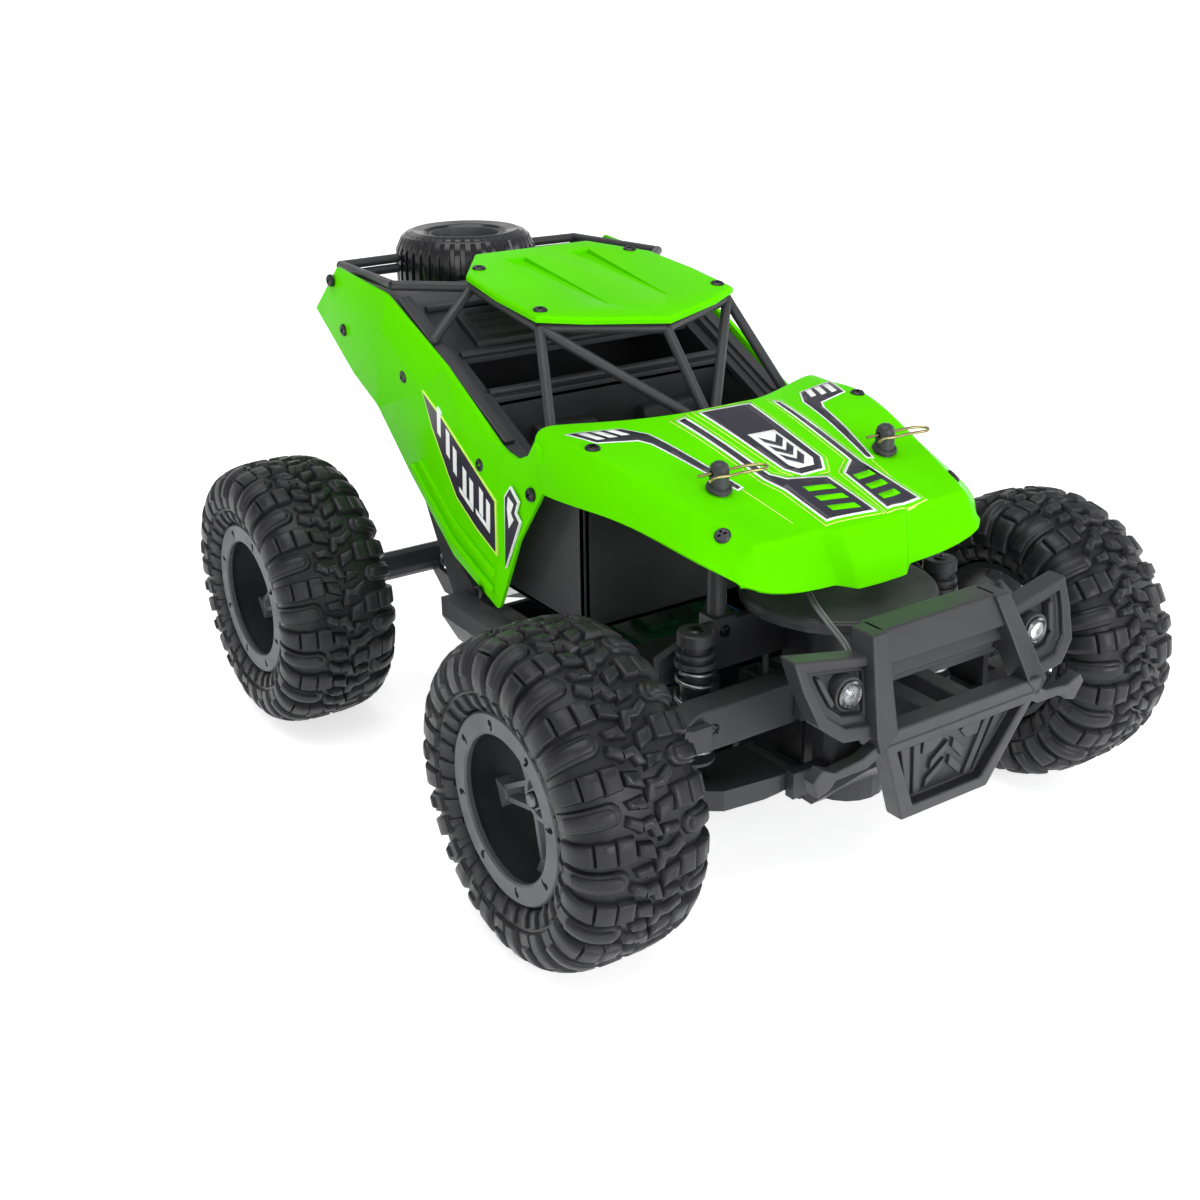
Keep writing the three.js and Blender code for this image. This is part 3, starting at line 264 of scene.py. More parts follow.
def paint():
    """The body's green, whose faint reflections are green too."""
    surface = Surface("paint_green", (0.1, 0.66, 0.0), 0.22)
    surface.tint(0.07, 18.0, 0.1, (0.2, 0.8, 0.0)).polish(0.04, 60.0).grain(300.0, 0.006)
    surface.set("IOR", 1.3).set("Specular IOR Level", 0.02).set("Specular Tint", (0.5, 1.0, 0.08, 1.0))
    return surface.material


def sticker(name, color):
    """Printed vinyl film."""
    return Surface(name, color, 0.32).tint(0.06, 80.0).polish(0.05).grain(500.0, 0.003).material


def rubber():
    """Matt tyre rubber, dusty on its edges."""
    surface = Surface("tyre_rubber", (0.0085, 0.0088, 0.0105), 0.4)
    surface.set("Specular IOR Level", 0.3)
    surface.tint(0.3, 90.0, 0.35, (0.03, 0.03, 0.033)).polish(0.1, 120.0).grain(1800.0, 0.03).grain(260.0,
        0.05)
    return surface.material


def speckled(name, color, roughness, spread, polish_spread, grain, scale=60.0):
    """A plain coated surface: its colour drifts by spread, its roughness by polish_spread."""
    return Surface(name, color, roughness).tint(spread, scale).polish(polish_spread).grain(*grain).material


def metal(name, color, roughness, soft=0.0):
    """Bare metal with a faint grain."""
    surface = Surface(name, color, roughness, 1.0)
    if soft:
        surface.soft_edges(soft)
    return surface.tint(0.12, 120.0).polish(0.08, 300.0).grain(1500.0, 0.004).material


GREEN = paint()
BLACK = moulded("plastic_black", (0.023, 0.0235, 0.0265), 0.4, (0.045, 0.046, 0.05))
CAD_BLACK = moulded("plastic_black_cad", (0.023, 0.0235, 0.0265), 0.4, (0.045, 0.046, 0.05), 0.35)
GREY = moulded("plastic_grey", (0.034, 0.036, 0.04), 0.45, (0.08, 0.08, 0.085))
CAD_GREY = moulded("plastic_grey_cad", (0.034, 0.036, 0.04), 0.45, (0.08, 0.08, 0.085), 0.35)
DECK = moulded("plastic_deck", (0.02, 0.021, 0.025), 0.46, (0.05, 0.05, 0.055))
RING_GREY = moulded("plastic_ring", (0.06, 0.063, 0.069), 0.42, (0.12, 0.12, 0.125))
# the hub and spokes: the rim's black plastic painted a lighter grey, painted light that lifts them out of the
# shade inside the wheel
SPOKE_PAINTED_LIGHT = moulded("plastic_spoke_painted_light", (0.16, 0.165, 0.18), 0.4, (0.2, 0.2, 0.21))
RUBBER = rubber()
GLOSS_BLACK = speckled("gloss_black", (0.012, 0.012, 0.014), 0.2, 0.3, 0.06, (700.0, 0.01))
NYLON = moulded("nylon_white", (0.7, 0.68, 0.6), 0.5, (0.85, 0.83, 0.75), 0.2)
WRAP = speckled("battery_wrap", (0.02, 0.08, 0.4), 0.3, 0.15, 0.08, (400.0, 0.03))
SOLDER_MASK = speckled("solder_mask", (0.01, 0.12, 0.035), 0.35, 0.3, 0.1, (900.0, 0.02), 400.0)
STEEL = metal("steel_bright", (0.62, 0.63, 0.64), 0.32, 0.2)
NUT_STEEL = metal("steel_nut", (0.16, 0.16, 0.17), 0.35)
SCREW_STEEL = metal("screw_black", (0.05, 0.05, 0.055), 0.38)
SPRING_STEEL = metal("spring_wire", (0.28, 0.29, 0.3), 0.35)
BRASS = metal("clip_wire", (0.42, 0.34, 0.16), 0.32)
CHROME = metal("lamp_chrome", (0.2, 0.205, 0.215), 0.28)
LEAD = speckled("lead_insulation", (0.13, 0.13, 0.14), 0.45, 0.2, 0.08, (900.0, 0.01))
INK_BLACK = sticker("sticker_black", (0.018, 0.016, 0.03))
INK_WHITE = sticker("sticker_white", (0.82, 0.84, 0.82))
INK_LIME = sticker("sticker_lime", (0.62, 0.9, 0.12))


def clear_lens():
    """Clear moulded plastic, slightly uneven."""
    surface = Surface("lens_clear", (0.95, 0.97, 1.0), 0.05)
    surface.polish(0.03, 200.0).grain(200.0, 0.005)
    surface.set("Base Color", (0.95, 0.97, 1.0, 1.0)).set("Transmission Weight", 0.95).set("IOR", 1.49)
    return surface.material


CLEAR = clear_lens()


# ---------- drawing in millimetres ----------
def plate(bm, outline, axis, low, high):
    """Fills an outline from low to high along axis. X takes (y, z) points, Y takes (x, z), Z takes (x, y)."""
    place = {"X": lambda p, d: (d, *p), "Y": lambda p, d: (p[0], d, p[1]), "Z": lambda p, d: (*p, d)}[axis]
    rings = [[bm.verts.new(place(point, depth)) for point in outline] for depth in (low, high)]
    bm.faces.new(rings[0])
    bm.faces.new(rings[1][::-1])
    skirt(bm, *rings)
    return rings[0] + rings[1]


def skirt(bm, ring, other):
    """Faces between two rings of vertices of equal length."""
    for i, vertex in enumerate(ring):
        after = (i + 1) % len(ring)
        bm.faces.new((vertex, ring[after], other[after], other[i]))


def slice_at(bm, axis, value):
    """Cuts every face where x, for axis 0, or y, for axis 1, has the value."""
    normal = Vector((1, 0, 0)) if axis == 0 else Vector((0, 1, 0))
    geometry = bm.verts[:] + bm.edges[:] + bm.faces[:]
    bmesh.ops.bisect_plane(bm, geom=geometry, plane_co=normal * value, plane_no=normal)


def block(bm, x0, x1, y0, y1, z0, z1):
    return plate(bm, [(x0, y0), (x1, y0), (x1, y1), (x0, y1)], "Z", z0, z1)


def lathe(bm, profile, axis="X", centre=(0, 0, 0), sides=64):
    """Turns a closed profile of (radius, distance along the axis) points."""
    swap = {"X": lambda a, b, c: (c, a, b), "Y": lambda a, b, c: (b, c, a), "Z": lambda a, b,
        c: (a, b, c)}[axis]
    rings = []
    for step in range(sides):
        angle = 2 * math.pi * step / sides
        points = [(r * math.cos(angle), r * math.sin(angle), a) for r, a in profile]
        rings.append([bm.verts.new(Vector(swap(*p)) + Vector(centre)) for p in points])
    for step, ring in enumerate(rings):
        skirt(bm, ring, rings[(step + 1) % sides])
    made = [v for ring in rings for v in ring]
    bmesh.ops.remove_doubles(bm, verts=made, dist=0.001)


def tube(bm, path, radius, sides=12, closed=False):
    """A round bar along a path; radius is a number or one number for each point."""
    path = [Vector(p) for p in path]
    radii = [radius] * len(path) if isinstance(radius, (int, float)) else radius
    last = len(path) - 1
    normal = None
    rings = []
    for i, point in enumerate(path):
        before = path[i - 1] if i or closed else point
        after = path[(i + 1) % len(path)] if i < last or closed else point
        along = (after - before).normalized()
        if normal is None:
            normal = along.orthogonal()
        normal = (normal - along * normal.dot(along)).normalized()
        side = along.cross(normal)
        ring = []
        for step in range(sides):
            angle = 2 * math.pi * step / sides
            ring.append(bm.verts.new(point + radii[i] * (normal * math.cos(angle) + side * math.sin(angle))))
        rings.append(ring)
    for i in range(last):
        skirt(bm, rings[i], rings[i + 1])
    if closed:
        skirt(bm, rings[-1], rings[0])
    else:
        bm.faces.new(rings[0])
        bm.faces.new(rings[-1][::-1])


def smooth_path(points, steps=6, closed=False):
    """A Catmull-Rom curve through the points."""
    points = [Vector(p) for p in points]
    count = len(points)
    spans = count if closed else count - 1
    at = (lambda i: points[i % count]) if closed else (lambda i: points[min(max(i, 0), count - 1)])
    path = []
    for span in range(spans):
        a, b, c, d = (at(span + k) for k in (-1, 0, 1, 2))
        for step in range(steps):
            t = step / steps
            path.append(0.5 * (2 * b + (c - a) * t + (2 * a - 5 * b + 4 * c - d) * t * t
                               + (3 * b - a - 3 * c + d) * t ** 3))
    return path if closed else path + [points[-1]]


def arc(centre, radius, start, end, steps=8):
    """Points on an arc, with its angles in degrees."""
    angles = [math.radians(start + (end - start) * i / steps) for i in range(steps + 1)]
    return [(centre[0] + radius * math.cos(a), centre[1] + radius * math.sin(a)) for a in angles]


def mirror(bm):
    """Doubles what is drawn onto the other side of the car."""
    copy = bmesh.ops.duplicate(bm, geom=bm.verts[:] + bm.edges[:] + bm.faces[:])["geom"]
    bmesh.ops.scale(bm, vec=(-1, 1, 1), verts=[g for g in copy if isinstance(g, bmesh.types.BMVert)])
    bmesh.ops.reverse_faces(bm, faces=[g for g in copy if isinstance(g, bmesh.types.BMFace)])


def solid(draw, *args, **settings):
    """A new drawing that holds one shape, made by plate, block, lathe or tube."""
    bm = bmesh.new()
    draw(bm, *args, **settings)
    return bm


def plates(outlines, axis, low, high):
    """A new drawing of several plates between the same two depths."""
    bm = bmesh.new()
    for outline in outlines:
        plate(bm, outline, axis, low, high)
    return bm


def both_sides(outline):
    """The outline and its mirror image, across the first of its two axes."""
    return [[(side * a, b) for a, b in outline] for side in (1, -1)]


def around(bm, made, turn):
    """Adds a drawing to bm, turned by a matrix."""
    made.transform(turn)
    merge(bm, made)


def round_edges(piece, name, width, segments, angle, harden=False):
    """Bevels the edges that turn by more than the angle, in degrees."""
    step = piece.modifiers.new(name, "BEVEL")
    step.width = width * MM
    step.segments = segments
    step.limit_method = "ANGLE"
    step.angle_limit = math.radians(angle)
    step.harden_normals = harden


def add_wall(piece, name, thickness, offset=-1.0):
    """Thickens a sheet; offset -1 keeps its face outermost and 1 keeps it innermost."""
    step = piece.modifiers.new(name, "SOLIDIFY")
    step.thickness = thickness * MM
    step.offset = offset


def subdivide(piece, levels):
    finer = piece.modifiers.new("finer", "SUBSURF")
    finer.levels = finer.render_levels = levels


def new_piece(name, bm, material=BLACK, body="car_body", replaces=(), bevel=0.0, side=1, smooth=38,
        levels=0, flat=False):
    """Makes a piece of the drawing: side -1 mirrors it, bevel rounds its edges, levels subdivides it."""
    if not flat:
        bmesh.ops.recalc_face_normals(bm, faces=bm.faces[:])
    mesh = bpy.data.meshes.new(name)
    bm.to_mesh(mesh)
    bm.free()
    mesh.transform(TO_ROW @ Matrix.Diagonal((side, 1, 1, 1)))
    if side < 0:
        mesh.flip_normals()
    mesh.materials.append(material)
    return place_piece(name, mesh, body, replaces, bevel, smooth, levels)


def place_piece(name, mesh, body="car_body", replaces=(), bevel=0.0, smooth=38, levels=0,
        where=None):
    """Makes an object of a finished mesh, with faces that turn by more than smooth degrees left sharp."""
    mesh.polygons.foreach_set("use_smooth", [True] * len(mesh.polygons))
    mesh.set_sharp_from_angle(angle=math.radians(smooth))
    piece = bpy.data.objects.new(name, mesh)
    scene.collection.objects.link(piece)
    if where is not None:
        piece.matrix_world = where
    if bevel:
        round_edges(piece, "edges", bevel, 2, 32, True)
    if levels:
        subdivide(piece, levels)
    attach(piece, body)
    if replaces:
        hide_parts(*([replaces] if isinstance(replaces, str) else replaces))
    return piece


def paint_node(node, material):
    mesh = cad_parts[node].data
    mesh.materials.clear()
    mesh.materials.append(material)


# ---------- wheels ----------
RADIUS = (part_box("tyre_front_left")[1].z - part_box("tyre_front_left")[0].z) / 2 / MM
PITCHES = 16
PITCH = 2 * math.pi * RADIUS / PITCHES
TREAD_DEPTH = 2.0
BEAD_RADIUS = 25.6
# the carcass from the middle of the tread, over the shoulder, to the bead: (across, radius)
CARCASS = [
    (0, 42.9), (7, 42.7), (12.6, 41.6), (15.9, 39.3), (17.6, 36.3), (18.1, 33.2), (17.6, 29.9),
    (16.6, 27.2), (15, 25.9),
]
# the carcass's inner face, from the bead to the middle: (radius, across)
CARCASS_INSIDE = [(BEAD_RADIUS, 13.9), (BEAD_RADIUS + 0.2, 12.0), (29, 13.6), (34, 14.6), (38.4, 11.5),
    (39.4, 0)]
# a block is cut along u and v this far apart, so that it bends with the tyre
BLOCK_CUTS = ((0, 3.0), (1, 1.9))
NARROWEST_CUT = 0.25
BLOCK_ROOT = -0.35
LOW_START, LOW_SPAN = 17.0, 8.0
LOW_BLOCK, SHOULDER_V = 1.1, 25.0


class TyreSurface:
    """Wraps flat drawings: u runs round the tyre, v across it from the middle, h up from the carcass."""

    def __init__(self):
        self.path = smooth_path([(x, 0, r) for x, r in CARCASS], 8)
        self.reach = [0.0]
        for a, b in zip(self.path, self.path[1:]):
            self.reach.append(self.reach[-1] + (b - a).length)

    def section(self, v):
        """The carcass point and its outward direction, as (across, radius) pairs, at distance v."""
        side, v = (-1, -v) if v < 0 else (1, v)
        v = min(v, self.reach[-1] - 0.01)
        i = max(k for k, r in enumerate(self.reach) if r <= v)
        a, b = self.path[i], self.path[i + 1]
        t = (v - self.reach[i]) / (self.reach[i + 1] - self.reach[i])
        point = a.lerp(b, t)
        along = (b - a).normalized()
        return side * point.x, point.z, side * -along.z, along.x

    def wrap(self, u, v, h):
        across, radius, out_across, out_radius = self.section(v)
        angle = u / RADIUS
        r = radius + h * out_radius
        return across + h * out_across, r * math.cos(angle), r * math.sin(angle)


SURFACE = TyreSurface()


def block_face(outline):
    """The outline as flat faces, cut small enough to bend and facing up."""
    flat = bmesh.new()
    flat.faces.new([flat.verts.new((u, v, 0)) for u, v in outline])
    for axis, spacing in BLOCK_CUTS:
        low, high = min(p[axis] for p in outline), max(p[axis] for p in outline)
        cut = math.ceil(low / spacing) * spacing
        while cut < high:
            if min(cut - low, high - cut) > NARROWEST_CUT:
                slice_at(flat, axis, cut)
            cut += spacing
    flat.normal_update()
    if sum(f.normal.z for f in flat.faces) < 0:
        bmesh.ops.reverse_faces(flat, faces=flat.faces[:])
        flat.normal_update()
    flat.verts.index_update()
    return flat


def open_border(flat):
    """For each border vertex, its neighbours before and after, each with that side's outward direction."""
    border = {}
    for edge in flat.edges:
        if len(edge.link_faces) == 1:
            loop = edge.link_loops[0]
            a, b = loop.vert, loop.link_loop_next.vert
            along = (b.co - a.co).normalized()
            outward = Vector((along.y, -along.x, 0))
            border.setdefault(a, [None, None])[1] = (b, outward)
            border.setdefault(b, [None, None])[0] = (a, outward)
    return border


def tread_block(bm, outline, height, low_height=None, taper=0.55, rim=0.35):
    """A block drawn flat as (u, v) points, with a softened top edge and walls that widen towards its foot.

    Its height falls to low_height down the tyre's side.
    """
    flat = block_face(outline)
    border = open_border(flat)
    made = {}

    def height_at(v):
        if low_height is None:
            return height
        share = min(max((abs(v) - LOW_START) / LOW_SPAN, 0.0), 1.0)
        return height + (low_height - height) * share

    def vertex(key, u, v, h):
        if key not in made:
            made[key] = bm.verts.new((u, v, h))
        return made[key]

    def ring_vertex(v, level):
        """The vertex at a level: 0 the top, 1 the edge of the wall and 2 its foot."""
        before, after = border[v]
        mitre = before[1] + after[1]
        mitre = mitre / max(mitre.length_squared / 2, 0.5)
        u, w = v.co.x, v.co.y
        if level == 0:
            return vertex((v.index, 0), u - rim * mitre.x, w - rim * mitre.y, height_at(w))
        if level == 1:
            return vertex((v.index, 1), u, w, height_at(w) - rim * 0.8)
        return vertex((v.index, 2), u + taper * mitre.x, w + taper * mitre.y, BLOCK_ROOT)

    for face in flat.faces:
        corners = [ring_vertex(v, 0) if v in border else vertex((v.index, 0), v.co.x, v.co.y,
            height_at(v.co.y))
            for v in face.verts]
        bm.faces.new(corners)
    for v, (_, after) in border.items():
        w = after[0]
        for level in (0, 1):
            lower = ring_vertex(v, level + 1), ring_vertex(w, level + 1)
            bm.faces.new((*lower, ring_vertex(w, level), ring_vertex(v, level)))
    flat.free()


def lug(middle, half, inner, outer, skew):
    """A lug's outline with a round inner end."""
    outline = []
    for angle in [math.pi * k / 6 for k in range(7)]:
        outline.append((middle + skew + half * math.cos(angle), inner + half * 0.9 * (1 - math.sin(angle))))
    return [*outline, (middle - half * 1.08, outer), (middle + half * 1.08, outer)]


def pitch_shapes():
    """One side of a pitch: (outline, height, height at the foot of the side)."""
    top, low = TREAD_DEPTH, LOW_BLOCK
    shapes = [
        (lug(2.9, 2.9, 8.2, SHOULDER_V, 0.5), top - 0.75, low - 0.2),
        (lug(2.9, 1.75, 9.6, 21.5, 0.4), top + 0.1, low + 0.5),
    ]
    for inner, outer in ((6.4, 10.6), (11.2, 15.3), (15.9, SHOULDER_V)):
        shapes.append(([(8.6, inner), (14.3, inner), (14.6, outer), (8.3, outer)], top, low))
    hook = [(12.6, -1.3), (17.6, 0.3), (17.3, 3.4), (19.3, 6.7), (17.2, 7.3), (15.0, 4.1), (15.2, 1.7),
        (12.9, 1.0)]
    shapes.append(([(7.2, 0.9), (11.4, 1.6), (12.4, 5.6), (9.2, 5.2)], top, None))
    shapes.append((hook, top, None))
    shapes.append(([(2.4, 1.2), (5.6, 2.1), (5.2, 6.4), (3.4, 5.6)], top - 0.3, None))
    return shapes


def tread_pitch():
    """One pitch of the tread: two shoulder lugs and the hooked middle blocks, on both sides of the middle."""
    bm = bmesh.new()
    for side in (1, -1):
        start = 0.0 if side > 0 else PITCH / 2
        for outline, height, low_height in pitch_shapes():
            tread_block(bm, [(start + u, side * v) for u, v in outline], height, low_height)
        for k, length in ((2.9, 31.6), (11.4, 30.4)):
            rib = [(k - 1.6, 26.2), (k + 1.6, 26.2), (k + 1.3, length), (k - 1.3, length)]
            tread_block(bm, [(start + u, side * v) for u, v in rib], 0.75, None, 0.3, 0.2)
    return bm


def tyre_mesh():
    """The carcass with its beads, and the tread wrapped round it."""
    half = [(p.z, p.x) for p in SURFACE.path] + CARCASS_INSIDE
    bm = solid(lathe, half + [(r, -x) for r, x in reversed(half) if x], "X", sides=128)
    pitch = tread_pitch()
    pitch.verts.index_update()
    flat = [v.co.copy() for v in pitch.verts]
    faces = [[v.index for v in f.verts] for f in pitch.faces]
    pitch.free()
    for turn in range(PITCHES):
        placed = [bm.verts.new(SURFACE.wrap(p.x + turn * PITCH, p.y, p.z)) for p in flat]
        for face in faces:
            bm.faces.new([placed[i] for i in face])
    return finished(bm, "tyre", RUBBER)


RIM_RADIUS = 25.3
RIM_INNER = 23.2
RING_BACK = 14.4
RING_FACE = 16.5
SPOKES = 5


# the spokes' inner end, their faces and their half width
SPOKE_FOOT, SPOKE_BACK, SPOKE_FACE, SPOKE_HALF = 5.9, 1.8, 5.6, 0.8


def spoke_pair(bm, turn):
    """Two thin beams that meet at the barrel, and the wide foot where they meet."""
    tip = RIM_INNER - 0.4
    for lean in (-1, 1):
        foot, end = 3.6 * lean, 1.0 * lean
        outline = [
            (foot - SPOKE_HALF, SPOKE_FOOT), (foot + SPOKE_HALF, SPOKE_FOOT), (end + SPOKE_HALF, tip),
            (end - SPOKE_HALF, tip),
        ]
        around(bm, solid(plate, outline, "X", SPOKE_BACK, SPOKE_FACE), turn)
    root, tip = RIM_INNER - 5, RIM_INNER - 0.5
    around(bm, solid(plate, [(-1.4, root), (1.4, root), (4.2, tip), (-4.2, tip)], "X", 1.2, 6.0), turn)


def rim_mesh():
    """A deep barrel, a hub, and five double spokes between them."""
    bm = solid(lathe, [
        (RIM_RADIUS, -15), (RIM_RADIUS, 13.9), (RIM_INNER, 14.1), (RIM_INNER - 0.3, 8),
        (RIM_INNER - 1.2, -6), (RIM_INNER - 1.2, -12), (RIM_INNER, -15),
    ], "X", sides=96)
    barrel_faces = len(bm.faces)
    lathe(bm, [(2.4, -6), (7.2, -6), (7.4, 5.6), (6.8, 6.2), (5.4, 6.2), (5.2, 3.4), (2.4, 3.4)], "X",
        sides=48)
    for index in range(SPOKES):
        spoke_pair(bm, Matrix.Rotation(2 * math.pi * index / SPOKES, 4, "X"))
    # the hub and spokes take the lighter grey, painted light against the shade deep in the wheel
    bm.faces.ensure_lookup_table()
    for face in bm.faces[barrel_faces:]:
        face.material_index = 1
    rim = finished(bm, "rim", BLACK)
    rim.materials.append(SPOKE_PAINTED_LIGHT)
    return rim


def merge(bm, other):
    """Adds a second drawing to bm and frees it."""
    mesh = bpy.data.meshes.new("part")
    other.to_mesh(mesh)
    other.free()
    bm.from_mesh(mesh)
    bpy.data.meshes.remove(mesh)


def finished(bm, name, material, place=Matrix.Scale(MM, 4)):
    """The drawing as a mesh in metres, in its own frame or, with TO_ROW, in the row frame."""
    bmesh.ops.recalc_face_normals(bm, faces=bm.faces[:])
    mesh = bpy.data.meshes.new(name)
    bm.to_mesh(mesh)
    bm.free()
    mesh.transform(place)
    mesh.materials.append(material)
    return mesh


def comma(angle):
    """A comma-shaped outline on the ring's face: a round head and a hooked tail, at an angle in radians."""
    head = arc((0, 22.9), 0.95, 200, -20, 6)
    tail = [(0.9, 22.2), (0.75, 21.3), (-0.1, 20.6), (-0.2, 21.2), (0.0, 21.8), (-0.5, 22.2)]
    turn = Matrix.Rotation(angle, 2)
    return [tuple(turn @ Vector(p)) for p in head + tail]


RING_POCKETS = 8


def ring_mesh():
    """The flat ring that clamps the tyre, with comma-shaped recesses in its face."""
    ring = solid(lathe, [
        (20, RING_BACK), (25.7, RING_BACK), (25.7, RING_FACE - 0.7), (25.1, RING_FACE), (20.2, RING_FACE),
        (19.6, RING_FACE - 0.5), (19.6, RING_BACK + 0.3),
    ], "X", sides=96)
    commas = [comma(2 * math.pi * (pocket + 0.4) / RING_POCKETS) for pocket in range(RING_POCKETS)]
    tools = plates(commas, "X", RING_FACE - 1.1, RING_FACE + 1)
    return carve(finished(ring, "ring", RING_GREY), finished(tools, "ring_tools", RING_GREY))


def carve(mesh, tool_mesh):
    """Cuts tool_mesh out of mesh and returns the new mesh."""
    body, tool = (bpy.data.objects.new(m.name, m) for m in (mesh, tool_mesh))
    for o in (body, tool):
        scene.collection.objects.link(o)
    step = body.modifiers.new("cut", "BOOLEAN")
    step.operation = "DIFFERENCE"
    step.solver = "EXACT"
    step.object = tool
    bpy.context.view_layer.update()
    result = bpy.data.meshes.new_from_object(body.evaluated_get(bpy.context.evaluated_depsgraph_get()))
    for o in (body, tool):
        bpy.data.objects.remove(o)
    return result


def nut_mesh():
    """A flanged wheel nut on the axle's end."""
    bm = bmesh.new()
    hexagon = [(3.4 * math.cos(math.pi * k / 3), 3.4 * math.sin(math.pi * k / 3)) for k in range(6)]
    plate(bm, hexagon, "X", 4.4, 7.4)
    lathe(bm, [(2.4, 3.6), (4.6, 3.6), (4.6, 4.3), (3.9, 4.9), (2.4, 4.9)], "X", sides=32)
    lathe(bm, [(0, 7.0), (2.3, 7.0), (2.3, 8.3), (1.7, 9.0), (0, 9.2)], "X", sides=24)
    return finished(bm, "wheel_nut", NUT_STEEL)


# how far each wheel is turned round its axle, in radians
WHEEL_TURN, RIGHT_TURN, REAR_TURN = 0.39, 0.31, 0.2
WHEEL_BEVELS = {"rim": 0.25, "beadlock_ring": 0.12, "wheel_nut": 0.25}


def add_wheels():
    """Four wheels of one set of meshes; each copy is turned before it is placed, so its box stays tight."""
    meshes = {"tyre": tyre_mesh(), "rim": rim_mesh(), "beadlock_ring": ring_mesh(), "wheel_nut": nut_mesh()}
    for end in ENDS:
        for index, (name, side) in enumerate(SIDES):
            where = Matrix.Translation(centre_of(f"tyre_{end}_{name}") * MM)
            body = f"front_wheel_{name}" if end == "front" else "rear_wheels"
            spin = Matrix.Rotation(WHEEL_TURN + RIGHT_TURN * index + (REAR_TURN if end == "rear" else 0), 4,
                "X")
            facing = Matrix.Rotation(0 if side > 0 else math.pi, 4, "Z")
            for part, shared in meshes.items():
                mesh = shared.copy()
                mesh.transform(facing @ spin)
                replaced = () if part == "wheel_nut" else f"{part}_{end}_{name}"
                bevel = WHEEL_BEVELS.get(part, 0.0)
                place_piece(f"{part}_{end}_{name}_look", mesh, body, replaced, bevel, 50, where=where)


# ---------- painted body ----------
# Half sections of the bonnet from its rear edge to the nose's lower edge. Each runs from the middle,
# over the raised centre of the nose and its valley, to the shoulder and the lower edge of the side.
BONNET = [
    [(0, 45.6, 122.4), (8, 45.6, 122.4), (13, 45.8, 122.2), (27, 54.4, 120.3), (43.8, 62.5, 120.2),
     (52.0, 64.4, 120.6), (55.2, 62, 115.5), (56.2, 57, 103.6)],
    [(0, 43, 122.0), (8, 43, 122.0), (13, 43, 121.7), (27, 50, 119.7), (44.4, 56, 120.4),
     (52.6, 56.5, 120.2), (55.8, 54, 114.2), (56.6, 50, 103.8)],
    [(0, 33, 119.5), (8, 33, 119.5), (13, 33, 119.1), (27, 35, 117.6), (43, 38, 119.4), (51.4, 38, 119.2),
     (54.4, 37, 111.6), (56.6, 36, 105)],
    [(0, 20, 115.9), (8, 20, 115.9), (13, 20, 115.4), (27, 20, 114.0), (40.4, 20, 115.2), (46.4, 20, 115.2),
     (50.6, 18.4, 110.0), (54.2, 17, 105.8)],
    [(0, 5, 111.7), (8.5, 5, 111.7), (13.5, 5, 111.2), (26, 5, 110.2), (37.4, 4, 110.9), (41.6, 3, 110.9),
     (47.4, 1, 106.4), (51, -1, 102.8)],
    [(0, -8.5, 108.2), (9.5, -8.5, 108.1), (14.5, -8, 107.5), (26, -7.5, 107.0), (35.2, -7.5, 108.0),
     (39, -7.5, 108.0), (44.2, -8.6, 103.6), (47.6, -9.6, 100.2)],
    [(0, -18.8, 105.2), (10.5, -18.6, 105.1), (15.6, -15.0, 105.2), (26, -15.4, 105.0), (34, -15.0, 105.4),
     (37.3, -15.0, 105.4), (42.2, -13.6, 101.4), (44.6, -13, 98.0)],
    [(0, -21.8, 96.3), (9.6, -21.6, 96.4), (14.6, -16.8, 97.2), (26, -17.4, 97.8), (35.4, -17.2, 98.8),
     (38.6, -17.0, 99.2), (41.8, -15.4, 98.8), (43.4, -14.6, 97.2)],
    [(0, -23.2, 89.6), (8.6, -23.0, 89.8), (13.4, -19.4, 90.8), (26, -20.6, 92.0), (35.6, -20.4, 94.2),
     (39.2, -19.4, 95.4), (41.8, -17.4, 96.4), (42.8, -16.4, 96.6)],
]
NOSE_EDGE, LIP_EDGE = 6, 7
CENTRE_EDGE, VALLEY, SHOULDER = 1, 2, 5
NOSE_ROWS = 5
SHELL = 1.3


def sheet_grid(bm, rows):
    """Quads over a grid of points; returns the vertices as rows."""
    grid = [[bm.verts.new(p) for p in row] for row in rows]
    for low, high in zip(grid, grid[1:]):
        for i in range(len(low) - 1):
            bm.faces.new((low[i], low[i + 1], high[i + 1], high[i]))
    return grid


def crease_line(bm, verts, amount):
    """Keeps the edges along a row of vertices sharp under subdivision, wholly at amount 1."""
    layer = bm.edges.layers.float.get("crease_edge") or bm.edges.layers.float.new("crease_edge")
    for a, b in zip(verts, verts[1:]):
        edge = bm.edges.get((a, b))
        if edge:
            edge[layer] = amount


def bonnet():
    """The bonnet's outer face as a grid through its sections, creased where it folds."""
    bm = bmesh.new()
    rows = [[(-x, y, z) for x, y, z in half[:0:-1]] + list(half) for half in BONNET]
    grid = sheet_grid(bm, rows)
    middle = len(BONNET[0]) - 1
    crease_line(bm, grid[NOSE_EDGE], 0.88)
    crease_line(bm, grid[LIP_EDGE], 0.75)
    for row in (grid[0], grid[-1]):
        crease_line(bm, row, 1.0)
    for side in (1, -1):
        for column, first_row, amount in (
            (SHOULDER, 1, 0.82), (middle, 0, 1.0), (CENTRE_EDGE, NOSE_ROWS, 0.85), (VALLEY, NOSE_ROWS, 0.85),
        ):
            crease_line(bm, [row[middle + side * column] for row in grid[first_row:]], amount)
    return bm


def thicken(piece, thickness):
    """Gives a sheet a thickness behind its face, with softened rims."""
    add_wall(piece, "wall", thickness)
    round_edges(piece, "rims", 0.3, 2, 50)


